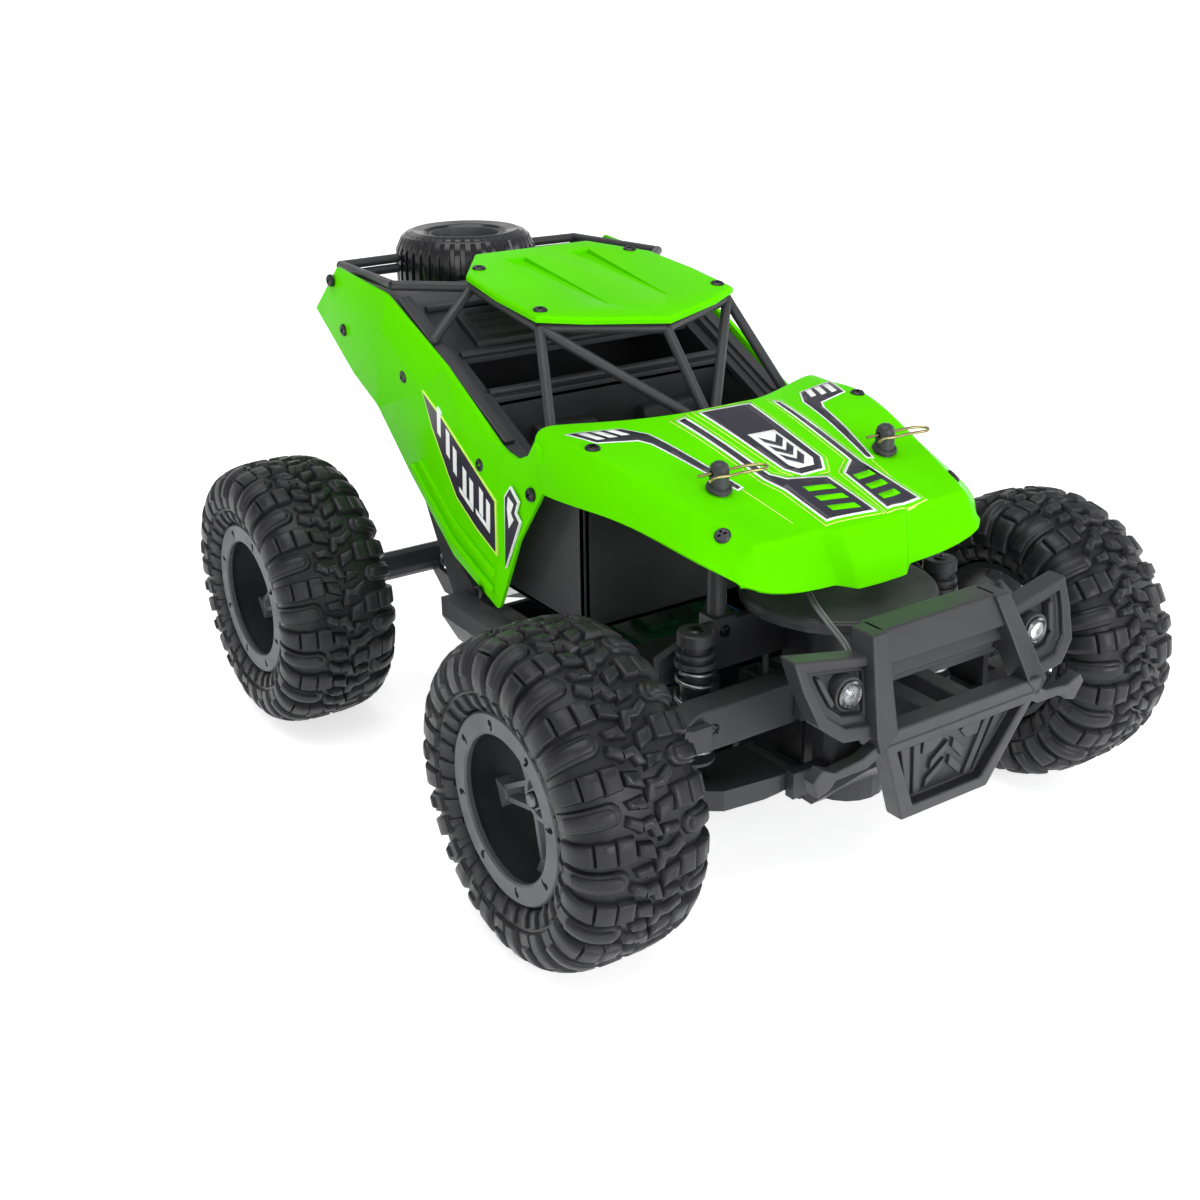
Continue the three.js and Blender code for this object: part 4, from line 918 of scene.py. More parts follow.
# the side panel's surface: named points of (out, y, z), drawn for the left side
PANEL = {
    "tip": (55.2, 84.6, 57.8), "arch1": (55.4, 112, 67.2), "arch2": (55.4, 139.5, 87.5),
    "arch3": (55.0, 162, 105.5), "tail_low": (56.0, 177.0, 113.6), "tail": (55.4, 205.5, 131.0),
    "tail_top": (55.0, 186.2, 147.8), "kink": (55.0, 149.5, 144.6), "rail": (55.4, 112, 127.4),
    "dip": (55.6, 77.5, 110.8), "dip2": (55.4, 70.5, 109.8), "rise": (55.2, 64.6, 112.4),
    "corner": (55.2, 61.0, 117.2), "corner2": (55.4, 57.4, 115.5), "front": (55.8, 56.2, 103.6),
    "fold": (57.8, 149.4, 133.4), "band_rear": (56.4, 126, 118.5), "band_front": (56.6, 82, 93.5),
    "low_front": (56.2, 83.5, 77.5), "low_rear": (56.2, 111, 90), "shoulder": (56.8, 100, 112),
    "front_mid": (56.0, 70, 85),
}
PANEL_FACES = [
    "tail_low tail tail_top kink fold", "fold kink rail band_rear", "arch3 tail_low fold",
    "arch3 fold band_rear", "rail shoulder band_rear", "rail dip shoulder", "dip band_front shoulder",
    "band_rear shoulder band_front low_front low_rear", "arch2 arch3 band_rear low_rear",
    "arch1 arch2 low_rear", "tip arch1 low_rear low_front", "tip low_front front_mid",
    "low_front band_front front_mid", "dip dip2 band_front", "dip2 front front_mid band_front",
    "dip2 rise corner corner2 front",
]


def side_panel():
    """The left panel's face, all of it turned outwards."""
    bm = bmesh.new()
    verts = {name: bm.verts.new(point) for name, point in PANEL.items()}
    for names in PANEL_FACES:
        bm.faces.new([verts[n] for n in names.split()])
    bmesh.ops.recalc_face_normals(bm, faces=bm.faces[:])
    if sum(f.normal.x * f.calc_area() for f in bm.faces) < 0:
        bmesh.ops.reverse_faces(bm, faces=bm.faces[:])
    return bm


def add_body_shell():
    shell = new_piece("bonnet", bonnet(), GREEN, replaces="body_shell", smooth=60)
    subdivide(shell, 3)
    thicken(shell, SHELL)
    for name, side in SIDES:
        panel = new_piece(f"side_panel_{name}", side_panel(), GREEN, side=side, smooth=24,
            flat=True)
        round_edges(panel, "folds", 1.1, 3, 3)
        thicken(panel, 1.4)
        add_panel_trim(name, side)
    add_roof()


# outlines on the side panel, as (y, z) points
PANEL_RIBS = (
    [(86.5, 62.6), (110.5, 71.6), (137, 90.5), (136, 92.4), (109.5, 74.2), (85.8, 65.2)],
    [(84.5, 68.6), (109, 78.0), (131, 93.5), (130, 95.2), (108, 80.4), (84, 71.2)],
)
BAND = [
    (81.6, 94.2), (92.3, 100.6), (112, 112.2), (124, 118.2), (119, 108.5), (109.4, 95), (105, 89.4),
    (93.2, 82.6), (82.2, 78),
]
BAND_MARKS = ((84.8, 84.4), (88.8, 87.0), (94.6, 88.4), (98.6, 91.0), (104.2, 96.0), (108.2, 100.6),
    (113.4, 106.2))
BAND_BARS = [
    [(85, 83.2), (93, 87.2), (93.2, 88.9), (84.9, 84.9)],
    [(94.8, 87.2), (103, 91.6), (103.1, 93.2), (94.7, 88.9)],
]
ARROW = [(72.3, 100.8), (68.4, 97.6), (70.2, 93.8), (67.8, 91.6), (76.6, 75), (75.3, 97.4)]
ARROW_MARK = [(73.4, 98.2), (70.4, 96.6), (72.0, 93.4), (70.6, 91.6), (73.6, 88.2), (74.2, 94.2)]
PANEL_SCREWS = ((189.5, 143), (181.5, 127.5), (138, 120.4), (90.5, 103.2), (62, 101.6), (95, 60.4))
FILM_BACK = 56.2
EDGE_FACE, PRINT_FACE, MARK_FACE = 57.0, 57.08, 57.14
PANEL_SCREW_X = 56.4


def add_panel_trim(name, side):
    """Raised ribs, the dark band with its marks, the arrow and the screws of one side panel."""
    ribs = plates(PANEL_RIBS, "X", 55.0, 56.9)
    new_piece(f"side_ribs_{name}", ribs, GREEN, bevel=0.7, side=side)

    def layer(label, outlines, material, face):
        film = plates(outlines, "X", FILM_BACK, face)
        new_piece(f"side_{label}_{name}", film, material, bevel=0.06, side=side)

    layer("band_edge", [grown(BAND, 0.7)], INK_LIME, EDGE_FACE)
    layer("band", [BAND], INK_BLACK, PRINT_FACE)
    marks = [[(y, z), (y + 2.2, z + 1.3), (y + 2.2 - 0.6, z + 9.6), (y - 0.6, z + 8.3)] for y,
        z in BAND_MARKS]
    layer("band_marks", marks + BAND_BARS, INK_WHITE, MARK_FACE)
    layer("arrow_edge", [grown(ARROW, 0.5)], INK_WHITE, EDGE_FACE)
    layer("arrow", [ARROW], INK_BLACK, PRINT_FACE)
    layer("arrow_mark", [ARROW_MARK], INK_WHITE, MARK_FACE)
    for index, (y, z) in enumerate(PANEL_SCREWS):
        add_screw(f"side_screw_{name}_{index}", (side * PANEL_SCREW_X, y, z), (side, 0, 0), 2.1)


def grown(outline, by):
    """The outline with every side moved outwards."""
    points = [Vector(p) for p in outline]
    area = sum(a.x * b.y - b.x * a.y for a, b in zip(points, points[1:] + points[:1]))
    turn = 1 if area > 0 else -1
    result = []
    for i, point in enumerate(points):
        before = (point - points[i - 1]).normalized()
        after = (points[(i + 1) % len(points)] - point).normalized()
        normals = [Vector((d.y, -d.x)) * turn for d in (before, after)]
        mitre = normals[0] + normals[1]
        result.append(tuple(point + mitre * by / max(mitre.length_squared / 2, 0.4)))
    return result


ROOF_Y, ROOF_Z, ROOF_SLOPE = 71.3, 143.9, 0.128
ROOF_MIDDLE_Y = 112
ROOF_EDGE = [(0, 71.3), (24, 80.6), (36.9, 88), (37.5, 110), (35.6, 131.6), (22, 150), (0, 150)]
# the rings of the turned-down edge, from its foot to the skin: (share of the outline, height)
ROOF_RINGS = ((1.0, -2.2), (1.0, -0.9), (0.985, -0.25), (0.93, 0.0))
ROOF_GROOVE = ((10.6, 89), (11.6, 89), (16.2, 140), (8.6, 140))
GROOVE_DEPTH, GROOVE_SHALLOW = 1.5, 0.15
ROOF_SCREWS = ((33.2, 91.5), (-33.2, 91.5), (29.2, 134.5), (-29.2, 134.5))


def roof_z(y):
    return ROOF_Z + ROOF_SLOPE * (y - ROOF_Y)


def roof_grooves():
    """Two wedges that sink deeper towards the back."""
    tools = plates(both_sides(ROOF_GROOVE), "Z", 0, 4)
    for v in tools.verts:
        depth = GROOVE_DEPTH * (1.0 if v.co.y > ROOF_MIDDLE_Y else GROOVE_SHALLOW) if v.co.z < 1 else 0.0
        v.co.z += roof_z(v.co.y) - depth
    return tools


def add_roof():
    """A shallow tray: the skin sinks into two grooves that widen backwards, and its edge turns down."""
    bm = bmesh.new()
    loop = ROOF_EDGE + [(-x, y) for x, y in ROOF_EDGE[-2:0:-1]]
    rings = []
    for share, drop in ROOF_RINGS:
        rings.append([bm.verts.new((x * share, ROOF_MIDDLE_Y + (y - ROOF_MIDDLE_Y) * share, drop)) for x,
            y in loop])
    for low, high in zip(rings, rings[1:]):
        skirt(bm, low, high)
    bm.faces.new(rings[-1])
    for v in bm.verts:
        v.co.z += roof_z(v.co.y)
    roof = new_piece("roof_skin", bm, GREEN, replaces="roof_panel", smooth=25)
    roof.data = carve(roof.data, finished(roof_grooves(), "roof_tools", GREEN, TO_ROW))
    round_edges(roof, "edges", 0.55, 3, 20)
    for index, (x, y) in enumerate(ROOF_SCREWS):
        add_screw(f"roof_screw_{index}", (x, y, roof_z(y) + 0.05), (0, -ROOF_SLOPE, 1), SCREW_HEAD)


SCREW_MESHES = {}


SCREW_HEAD = 2.2


def screw_mesh(radius):
    """A pan-head screw with a cross recess, its top towards +Z."""
    if radius not in SCREW_MESHES:
        outline = [(0, -0.8), (radius, -0.8), (radius, 0.2), (radius * 0.8, 0.65), (0, 0.8)]
        head = finished(solid(lathe, outline, "Z", sides=28), "screw_head", SCREW_STEEL)
        arm, thin = radius * 0.62, radius * 0.14
        for x, y in ((arm, thin), (thin, arm)):
            head = carve(head, finished(solid(block, -x, x, -y, y, 0.1, 2), "slot", SCREW_STEEL))
        SCREW_MESHES[radius] = head
    return SCREW_MESHES[radius]


def add_screw(name, place, facing, radius, body="car_body", turn=0.6):
    turned = Vector(facing).to_track_quat("Z", "Y").to_matrix().to_4x4() @ Matrix.Rotation(turn, 4, "Z")
    where = Matrix.Translation(TO_ROW @ Vector(place)) @ turned
    place_piece(name, screw_mesh(radius), body, smooth=40, where=where)


# ---------- bonnet stickers ----------


def bonnet_tree():
    """The bonnet's outer face in millimetres, to drop points onto."""
    bm = bmesh.new()
    piece = bpy.data.objects["bonnet"]
    piece.modifiers["wall"].show_viewport = piece.modifiers["rims"].show_viewport = False
    bpy.context.view_layer.update()
    bm.from_object(piece, bpy.context.evaluated_depsgraph_get())
    piece.modifiers["wall"].show_viewport = piece.modifiers["rims"].show_viewport = True
    bm.transform(TO_ROW.inverted())
    tree = BVHTree.FromBMesh(bm)
    bm.free()
    return tree


def drop(tree, x, y):
    """Where a line straight down at (x, y) meets the bonnet, and the normal there."""
    hit, normal, _, _ = tree.ray_cast(Vector((x, y, DROP_HEIGHT)), Vector((0, 0, -1)))
    return hit, normal


def drape(bm, tree, lift):
    """Cuts flat (x, y) faces into small ones and lays them on the bonnet."""
    for axis in (0, 1):
        for step in range(DRAPE_CUTS):
            slice_at(bm, axis, DRAPE_START + step * DRAPE_SPACING)
    for v in bm.verts:
        hit, normal = drop(tree, v.co.x, v.co.y)
        v.co = hit + normal * lift if hit else Vector((v.co.x, v.co.y, MISS_HEIGHT))


DRAPE_START, DRAPE_SPACING, DRAPE_CUTS = -59.987, 2.5, 52
DROP_HEIGHT, MISS_HEIGHT = 200, 100
FILM_LIFT, FILM_STEP, FILM = 0.05, 0.07, 0.06
# outlines on the bonnet, as (x, y) points
CENTRE_BAND = [(-9.6, 43.4), (7.4, 42.8), (7.6, 12.0), (4.2, 7.0), (-3.6, 6.8), (-6.4, 10.5)]
SHIELD = [(-5.0, 28.4), (4.4, 28.0), (5.2, 12.2), (3.0, 9.2), (-2.6, 9.2), (-4.2, 11.4)]
NEAR_BAR = [
    (-17.2, 43.8), (-15.4, 43.8), (-12.4, 10.0), (-9.2, 6.0), (2.2, 2.8), (3.5, -14.2), (-11.6, -12.8),
    (-12.4, 2.4), (-14.4, 8.8),
]
FAR_BAR = [(18.0, 43.8), (19.8, 43.8), (18.6, 7.6), (21.2, -12.6), (8.3, -14.4), (9.2, 3.0), (16.6, 8.6)]
FLASH = [
    (48.5, 53.6), (33.5, 50.0), (28.8, 43.0), (26.4, 28), (22.8, 9), (24.2, 8.6), (28.4, 24), (31.4, 37.6),
    (33.5, 41.0), (45.4, 44.0),
]
THIN_LINE = [(23.4, 8), (22.9, 8), (20.6, -10), (20.9, -10)]
BONNET_SCREWS = ((48.6, 41.2), (-48.6, 41.2), (41.2, -6.7), (-41.2, -6.7))


def add_film(tree, name, outlines, material, level):
    """One printed layer of the stickers; each level lies just above the one before."""
    bm = bmesh.new()
    for outline in outlines:
        bm.faces.new([bm.verts.new((x, y, 0)) for x, y in outline])
    drape(bm, tree, FILM_LIFT + FILM_STEP * level)
    bmesh.ops.remove_doubles(bm, verts=bm.verts[:], dist=0.01)
    bm.normal_update()
    if sum(f.normal.z for f in bm.faces) < 0:
        bmesh.ops.reverse_faces(bm, faces=bm.faces[:])
    add_wall(new_piece(f"sticker_{name}", bm, material, flat=True, smooth=80), "film", FILM, 1.0)


def add_bordered(tree, name, outline):
    """A black shape in a white border, with a lime line round it."""
    add_film(tree, f"{name}_lime", [grown(outline, 2.1)], INK_LIME, 0)
    add_film(tree, f"{name}_gap", [grown(outline, 1.7)], GREEN, 1)
    add_film(tree, f"{name}_white", [grown(outline, 0.8)], INK_WHITE, 2)
    add_film(tree, name, [outline], INK_BLACK, 3)


def add_flash(tree, tag, side):
    """The bent flash at a rear corner of the bonnet, with three slanted bars and a thin line ahead of it."""
    outline = [(side * x, y) for x, y in FLASH]
    add_film(tree, f"flash_edge_{tag}", [grown(outline, 0.6)], INK_WHITE, 0)
    add_film(tree, f"flash_{tag}", [outline], INK_BLACK, 1)
    slants = []
    for x in (46.4, 42.2, 38.0):
        top = 52.4 - (46 - x) * 0.2
        slants.append([(side * x, top), (side * (x - 2.6), top - 0.5), (side * (x - 4.6), 45.2),
            (side * (x - 2.2), 45.6)])
    add_film(tree, f"flash_bars_{tag}", slants, INK_WHITE, 2)
    add_film(tree, f"line_{tag}", [[(side * x, y) for x, y in THIN_LINE]], INK_LIME, 0)


def add_stickers():
    tree = bonnet_tree()
    add_bordered(tree, "centre", CENTRE_BAND)
    add_film(tree, "shield", [SHIELD], INK_WHITE, 4)
    chevrons = [[(-3.2, y), (0.2, y - 3.6), (3.4, y), (3.6, y - 2.8), (0.4, y - 6.4), (-3.0, y - 2.8)]
        for y in (26.0, 21.4, 16.8)]
    add_film(tree, "shield_mark", chevrons, INK_BLACK, 5)
    add_bordered(tree, "near_bar", NEAR_BAR)
    windows = [[(-7.8, y), (0.6, y - 1.6), (0.9, y - 4.0), (-7.6, y - 2.4)] for y in (1.4, -3.4, -8.2)]
    add_film(tree, "near_windows", windows, GREEN, 4)
    add_bordered(tree, "far_bar", FAR_BAR)
    windows = [[(10.2, y), (17.6, y + 1.4), (17.9, y - 1.0), (10.3, y - 2.4)] for y in (1.4, -3.6, -8.6)]
    add_film(tree, "far_windows", windows, GREEN, 4)
    for tag, side in SIDES:
        add_flash(tree, tag, side)
    for index, (x, y) in enumerate(BONNET_SCREWS):
        hit, normal = drop(tree, x, y)
        add_screw(f"bonnet_screw_{index}", hit + normal * 0.1, normal, SCREW_HEAD)


# ---------- roll cage ----------
CAGE_TUBE = 1.6
CAGE_DROP = 4.3
COWL = (0, 50, 114)


def roof_node(x, y):
    return x, y, roof_z(y) - CAGE_DROP


def add_roll_cage():
    front = roof_node(0, 73.5)
    tubes = [(front, COWL), (roof_node(-21, 148), roof_node(21, 148))]
    for _, side in SIDES:
        roof_front, roof_rear = roof_node(side * 35.2, 89), roof_node(side * 34, 131)
        tail = roof_node(side * 21, 148)
        fin_front, fin_rear = (side * 52.2, 150, 147), (side * 48, 198, 146)
        tubes += [
            (roof_front, (side * 44.6, 68, 112.5)), (roof_front, COWL), (front, roof_front),
            (roof_front, roof_rear), (roof_rear, tail), (roof_rear, (side * 52.2, 124, 134)),
            (roof_rear, fin_front), (fin_front, fin_rear), (fin_rear, (side * 26.4, 199, 146)),
            ((side * 48, 198, 142.6), (side * 26.4, 199, 142.6)), (fin_rear, (side * 48, 198, 138)),
        ]
    bm = bmesh.new()
    for start, end in tubes:
        tube(bm, [start, end], CAGE_TUBE, 16)
        for point in (start, end):
            place = Matrix.Translation(point)
            bmesh.ops.create_uvsphere(bm, u_segments=16, v_segments=10, radius=CAGE_TUBE * 1.02, matrix=place)
    new_piece("roll_cage_tubes", bm, replaces="roll_cage", smooth=60)


# ---------- interior ----------
DECK_RISE = ((104, 119), (148, 140.5), (168, 142))
DECK_HALF = 47.5
DECK_WINDOW = (43, 106.5, 121)
HATCH = (36, 125.5, 141.5)
SPARE_Y = 195.7
SPARE_BOTTOM, SPARE_TOP = 124.3, 154.3


def deck_z(y):
    (y0, z0), (y1, z1) = DECK_RISE[:2]
    return z0 + (y - y0) * (z1 - z0) / (y1 - y0)


def add_deck():
    """The sloping deck with its window and hatch opening, and the bars along their edges."""
    (_, low_z), middle, end = DECK_RISE
    section = [(102, low_z - 3), (middle[0], middle[1] - 2), (end[0], end[1] - 2), end, middle,
        (102, low_z - 1)]
    tools = bmesh.new()
    for half, y0, y1 in (DECK_WINDOW, HATCH):
        block(tools, -half, half, y0, y1, 100, 160)
    deck = finished(solid(plate, section, "X", -DECK_HALF, DECK_HALF), "deck", DECK, TO_ROW)
    deck = carve(deck, finished(tools, "deck_holes", DECK, TO_ROW))
    place_piece("cargo_deck", deck, replaces="cockpit_tub", bevel=0.5)
    bars = bmesh.new()
    for y in (DECK_WINDOW[1] - 1.2, DECK_WINDOW[2] + 1.2, HATCH[2] + 2.4):
        z = deck_z(y) + 0.5
        tube(bars, [(-44, y, z), (44, y, z)], 1.2, 12)
    new_piece("deck_frame", bars)


def add_tub():
    """The cockpit's walls and floor, and the spare's boss behind them."""
    walls = bmesh.new()
    for x, y0, y1, z0, z1 in (
        (46, 50, 104, 60, 62), (46, 102, 104, 60, 119), (46, 50, 53, 60, 110),
        (DECK_HALF, 166, 168, 119.5, 141), (27, 166, 208, 119.5, 122),
    ):
        block(walls, -x, x, y0, y1, z0, z1)
    sides = solid(plate, [(50, 60), (104, 60), (104, 119), (78, 105), (50, 105)], "X", 44, 46)
    plate(sides, [(78, 104), (104, 116.8), (104, 120.5), (76, 107)], "X", 44, 48)
    mirror(sides)
    merge(walls, sides)
    new_piece("tub_walls", walls, bevel=0.5)
    boss = [(0, 121), (10, 121), (10, 131.8), (9, 132.7), (0, 132.7)]
    new_piece("spare_boss", solid(lathe, boss, "Z", (0, SPARE_Y, 0), 40))


def add_deck_rails():
    """The dark rail along each side of the deck, with a raised strip on it."""
    rails = solid(plate, [(78, 104), (148, 139), (192, 140), (192, 144), (147.5, 143.4), (76, 108)], "X", 47,
        53.8)
    plate(rails, [(82, 110.6), (146, 142.6), (146, 144.2), (81, 112)], "X", 49, 53)
    mirror(rails)
    new_piece("deck_rails", rails, DECK, bevel=0.7)


def add_bay_lining():
    """The dark floor and sides of the bay under the deck."""
    lining = solid(plate, [(104, 84), (140, 103), (166, 118), (166, 119.5), (140, 104.5), (104, 85.5)], "X",
        -45, 45)
    for _, side in SIDES:
        x0, x1 = sorted((side * 44.4, side * 45.8))
        plate(lining, [(104, 84), (140, 103), (166, 118), (166, 139), (148, 137.6), (104, 116.6)], "X", x0,
            x1)
    new_piece("bay_lining", lining, bevel=0.4)


def add_tub_lid():
    """The lid over the servo bay, with a raised rim and two screws."""
    bm = solid(block, -43.4, 43.4, 26, 50, 50.2, 51.8)
    block(bm, -36, 36, 30, 47, 51.8, 53)
    new_piece("servo_bay_lid", bm, bevel=0.5)
    for name, side in SIDES:
        add_screw(f"lid_screw_{name}", (side * 39.5, 38, 51.8), (0, 0, 1), 2.0)


def add_dashboard():
    dash = solid(plate, [(53, 98), (53, 109), (60, 109.5), (66, 106), (66, 101), (60, 97)], "X", -43, 43)
    dial = [(0, 0), (5.2, 0), (5.2, 1.4), (4.2, 1.4), (4, 0.6), (0, 0.6)]
    for _, side in SIDES:
        lathe(dash, dial, "Y", (side * 10, 66, 104), 32)
    new_piece("dashboard", dash, bevel=0.8)


RIM_STEPS = 32


def add_steering_wheel():
    """A leaning rim with three spokes, on its column."""
    rim = []
    for step in range(RIM_STEPS):
        angle = 2 * math.pi * step / RIM_STEPS
        rim.append((18 + 9 * math.cos(angle), 72 - 3.6 * math.sin(angle), 101 + 8.2 * math.sin(angle)))
    hub = (18, 72.4, 101)
    wheel = solid(tube, rim, 1.1, 10, closed=True)
    for step in (0, 10, 22):
        tube(wheel, [hub, rim[step]], 0.9, 8)
    tube(wheel, [(18, 64, 98.5), hub], 1.6, 12)
    new_piece("steering_wheel", wheel, smooth=60)


def add_seat(name, side):
    """A bucket seat: back, cushion, two wings and three ribs."""
    bm = solid(plate, [(86, 62), (93, 62), (104, 104), (102, 109), (98, 108.5), (95, 100)], "X", 9, 31)
    block(bm, 8, 32, 65, 90, 61, 69)
    wing = [(64, 61), (64, 71), (70, 74), (83, 73.5), (92, 101), (95, 105), (101, 104), (92, 61)]
    for low in (6.6, 29.9):
        plate(bm, wing, "X", low, low + 3.4)
    for z in (78, 85, 92):
        y = 86 + (z - 70) * 0.26
        block(bm, 12, 28, y, y + 3, z - 2.6, z + 2.6)
    new_piece(f"seat_{name}", bm, bevel=1.2, side=side)


def add_hatch():
    """A lid with two raised louvre panels and a finger recess, on the hatch's own slope."""
    half, y0, y1 = HATCH
    low, high = y0 + 0.3, y1 - 0.3
    section = [(low, deck_z(low) - 1.6), (high, deck_z(high) - 1.6), (high, deck_z(high) + 1.4),
        (low, deck_z(low) + 1.4)]
    recess = solid(block, -9, 9, y0 + 1.5, y0 + 5, deck_z(y0) - 0.2, 160)
    lid = finished(solid(plate, section, "X", 0.3 - half, half - 0.3), "lid", BLACK, TO_ROW)
    lid = carve(lid, finished(recess, "lid_recess", BLACK, TO_ROW))
    place_piece("hatch_lid", lid, "deck_hatch", "deck_hatch", bevel=0.35)
    louvres = bmesh.new()
    for _, side in SIDES:
        x0, x1 = sorted((side * 12, side * 33))
        for index in range(4):
            y = y0 + 2.4 + index * 3.1
            slat = [(0, 1.0, 0), (2.2, 1.2, 2.2), (2.0, 2.6, 2.0), (0.8, 2.3, 0.8)]
            plate(louvres, [(y + dy, deck_z(y + at) + up) for dy, up, at in slat], "X", x0, x1)
    new_piece("hatch_louvres", louvres, body="deck_hatch", bevel=0.25)


SPARE_RIBS = 40


def around_spare(count):
    """The turns that place count copies round the spare's upright axis."""
    centre = Matrix.Translation((0, SPARE_Y, 0))
    return [centre @ Matrix.Rotation(2 * math.pi * index / count, 4, "Z") for index in range(count)]


def add_spare():
    """A ribbed tyre lying flat, with a five-spoke rim."""
    low, high = SPARE_BOTTOM, SPARE_TOP
    carcass = [
        (13.4, low + 2.5), (15, low + 0.8), (19, low), (22.4, low + 1.6), (24.0, low + 5), (24.4, low + 15),
        (24.0, high - 5), (22.4, high - 1.6), (19, high), (15, high - 0.8), (13.4, high - 2.5),
        (13.2, high - 6), (13.2, low + 6),
    ]
    rib = [
        (20.6, low + 0.5), (23, low + 2.2), (25.0, low + 6.5), (25.2, low + 15), (25.0, high - 6.5),
        (23, high - 2.2), (20.6, high - 0.5), (20, high - 4), (20, low + 4),
    ]
    tyre = solid(lathe, carcass, "Z", (0, SPARE_Y, 0), 96)
    for turn in around_spare(SPARE_RIBS):
        around(tyre, solid(plate, rib, "Y", -1.15, 1.15), turn)
    new_piece("spare_tyre", tyre, GLOSS_BLACK, replaces="spare_wheel", bevel=0.35, smooth=50)
    dish = [
        (13.3, high - 4), (13.3, high - 1.4), (12.2, high - 1.4), (11.4, high - 4), (10.4, high - 14),
        (3, high - 17), (0, high - 17), (0, high - 20), (11.5, high - 19), (13.3, low + 6),
    ]
    spoke = [(2, high - 17), (11.5, high - 15), (11.8, high - 6), (9.4, high - 10), (2, high - 13)]
    rim = solid(lathe, dish, "Z", (0, SPARE_Y, 0), 64)
    for turn in around_spare(SPOKES):
        around(rim, solid(plate, spoke, "Y", -1.3, 1.3), turn)
    new_piece("spare_rim", rim, GREY, bevel=0.3)


# ---------- bumper and lamps ----------
BUMPER_FACE = -55
KNEE_Z = 66
LENS = (33.2, 76, 3.2)


def lean_back(z):
    return (z - KNEE_Z) * 0.45 if z > KNEE_Z else (KNEE_Z - z) * 0.15


def leaning(bm):
    for v in bm.verts:
        v.co.y += lean_back(v.co.z)
    return bm


def cut_plate(bm, outline, low, high, cuts):
    """Adds a plate along Y with pockets of (outline, low, high) cut into it."""
    mesh = finished(solid(plate, outline, "Y", low, high), "plate", BLACK)
    for pocket, pocket_low, pocket_high in cuts:
        mesh = carve(mesh, finished(solid(plate, pocket, "Y", pocket_low, pocket_high), "pocket", BLACK))
    mesh.transform(Matrix.Scale(1 / MM, 4))
    bm.from_mesh(mesh)


# the bumper's outlines, as (x, z) points
LAMP_PANEL = [(21.5, 82.6), (48, 87), (47.4, 80), (45.2, 71.5), (39, 66.6), (28, 65)]
LAMP_RECESS = [(25.4, 81), (44.8, 83.8), (44, 79.6), (42, 73.2), (37.6, 69.6), (28.8, 68.4)]
LAMP_POCKET = [(27, 79.6), (42.2, 81.8), (41.4, 78.8), (39.8, 74.4), (36.4, 71.6), (29.8, 70.6)]
LAMP_BROW = [(40.4, 81.4), (42.2, 81.8), (41.4, 78.8), (39.8, 74.4), (38.2, 74.8), (39.4, 78.6)]
UPRIGHT = [(19, 88.5), (24.3, 88.5), (27.5, 77), (30.4, KNEE_Z), (28, 60.5), (23.4, KNEE_Z), (21.4, 77)]
HORN = [
    (27, 64), (33, 60.8), (42, 59.8), (46.4, 62), (48.8, 59), (46.6, 53.6), (43.2, 54.6), (41, 57.2),
    (31, 57.2), (26, 60),
]
# the plates between the uprights: half width and height of the top, then of the foot, then depth behind the face
BUMPER_BARS = ((21, 88.5, 23, 80.5, 1), (23, 81, 22, 76, 4.2), (22, 76.6, 19.5, 73.8, 6.4))
GRILLE = [(-27.5, 63), (27.5, 63), (15.8, 36.2), (-15.8, 36.2)]
GRILLE_POCKET = [(-22.4, 59.8), (22.4, 59.8), (12.4, 40.2), (-12.4, 40.2)]
GRILLE_MARKS = (
    [(1, 47), (6.5, 42), (6.5, 45), (1, 50)], [(1, 52.5), (6, 47.6), (6, 50.6), (1, 55.4)],
    [(8, 41.4), (10.4, 41.4), (14, 58), (11.6, 58)], [(11.6, 42), (12.8, 42), (18.6, 58), (15.4, 58)],
    [(3, 57), (6, 53.8), (10, 53.8), (10.4, 58), (4, 58)],
)


def bumper_sides():
    """The lamp panels, uprights and horns of both sides."""
    face = BUMPER_FACE
    bm = bmesh.new()
    pockets = [(LAMP_RECESS, face + 1, face + 4.0), (LAMP_POCKET, face + 1, face + 5.6)]
    cut_plate(bm, LAMP_PANEL, face + 2.2, face + 8, pockets)
    plate(bm, LAMP_BROW, "Y", face + 3.0, face + 5.8)
    plate(bm, UPRIGHT, "Y", face - 0.2, face + 8)
    plate(bm, HORN, "Y", face + 1, face + 5)
    mirror(bm)
    return leaning(bm)


def bumper_bars():
    bm = bmesh.new()
    for wide, top, narrow, foot, back in BUMPER_BARS:
        outline = [(-wide, top), (wide, top), (narrow, foot), (-narrow, foot)]
        plate(bm, outline, "Y", BUMPER_FACE + back, BUMPER_FACE + 9)
    block(bm, -29, 29, BUMPER_FACE, BUMPER_FACE + 6, 62.3, 66.6)
    return leaning(bm)


def bumper_grille():
    bm = bmesh.new()
    pocket = (GRILLE_POCKET, BUMPER_FACE - 1, BUMPER_FACE + 3.2)
    cut_plate(bm, GRILLE, BUMPER_FACE - 0.3, BUMPER_FACE + 5.5, [pocket])
    return leaning(bm)


def bumper_marks():
    """The relief in the grille's pocket."""
    outlines = [[(flip * x, z) for x, z in outline] for flip in (1, -1) for outline in GRILLE_MARKS]
    return leaning(plates(outlines, "Y", BUMPER_FACE + 2.3, BUMPER_FACE + 3.6))


def add_bumper():
    arms = solid(block, 3, 9, BUMPER_FACE + 3, -24.4, 60, 66)
    mirror(arms)
    new_piece("bumper_frame", bumper_sides(), replaces="bumper", bevel=0.7)
    new_piece("bumper_bar", bumper_bars(), bevel=0.7)
    new_piece("bumper_grille", bumper_grille(), bevel=0.7)
    new_piece("bumper_tread", bumper_marks(), bevel=0.25)
    new_piece("bumper_arms", arms, bevel=0.6)


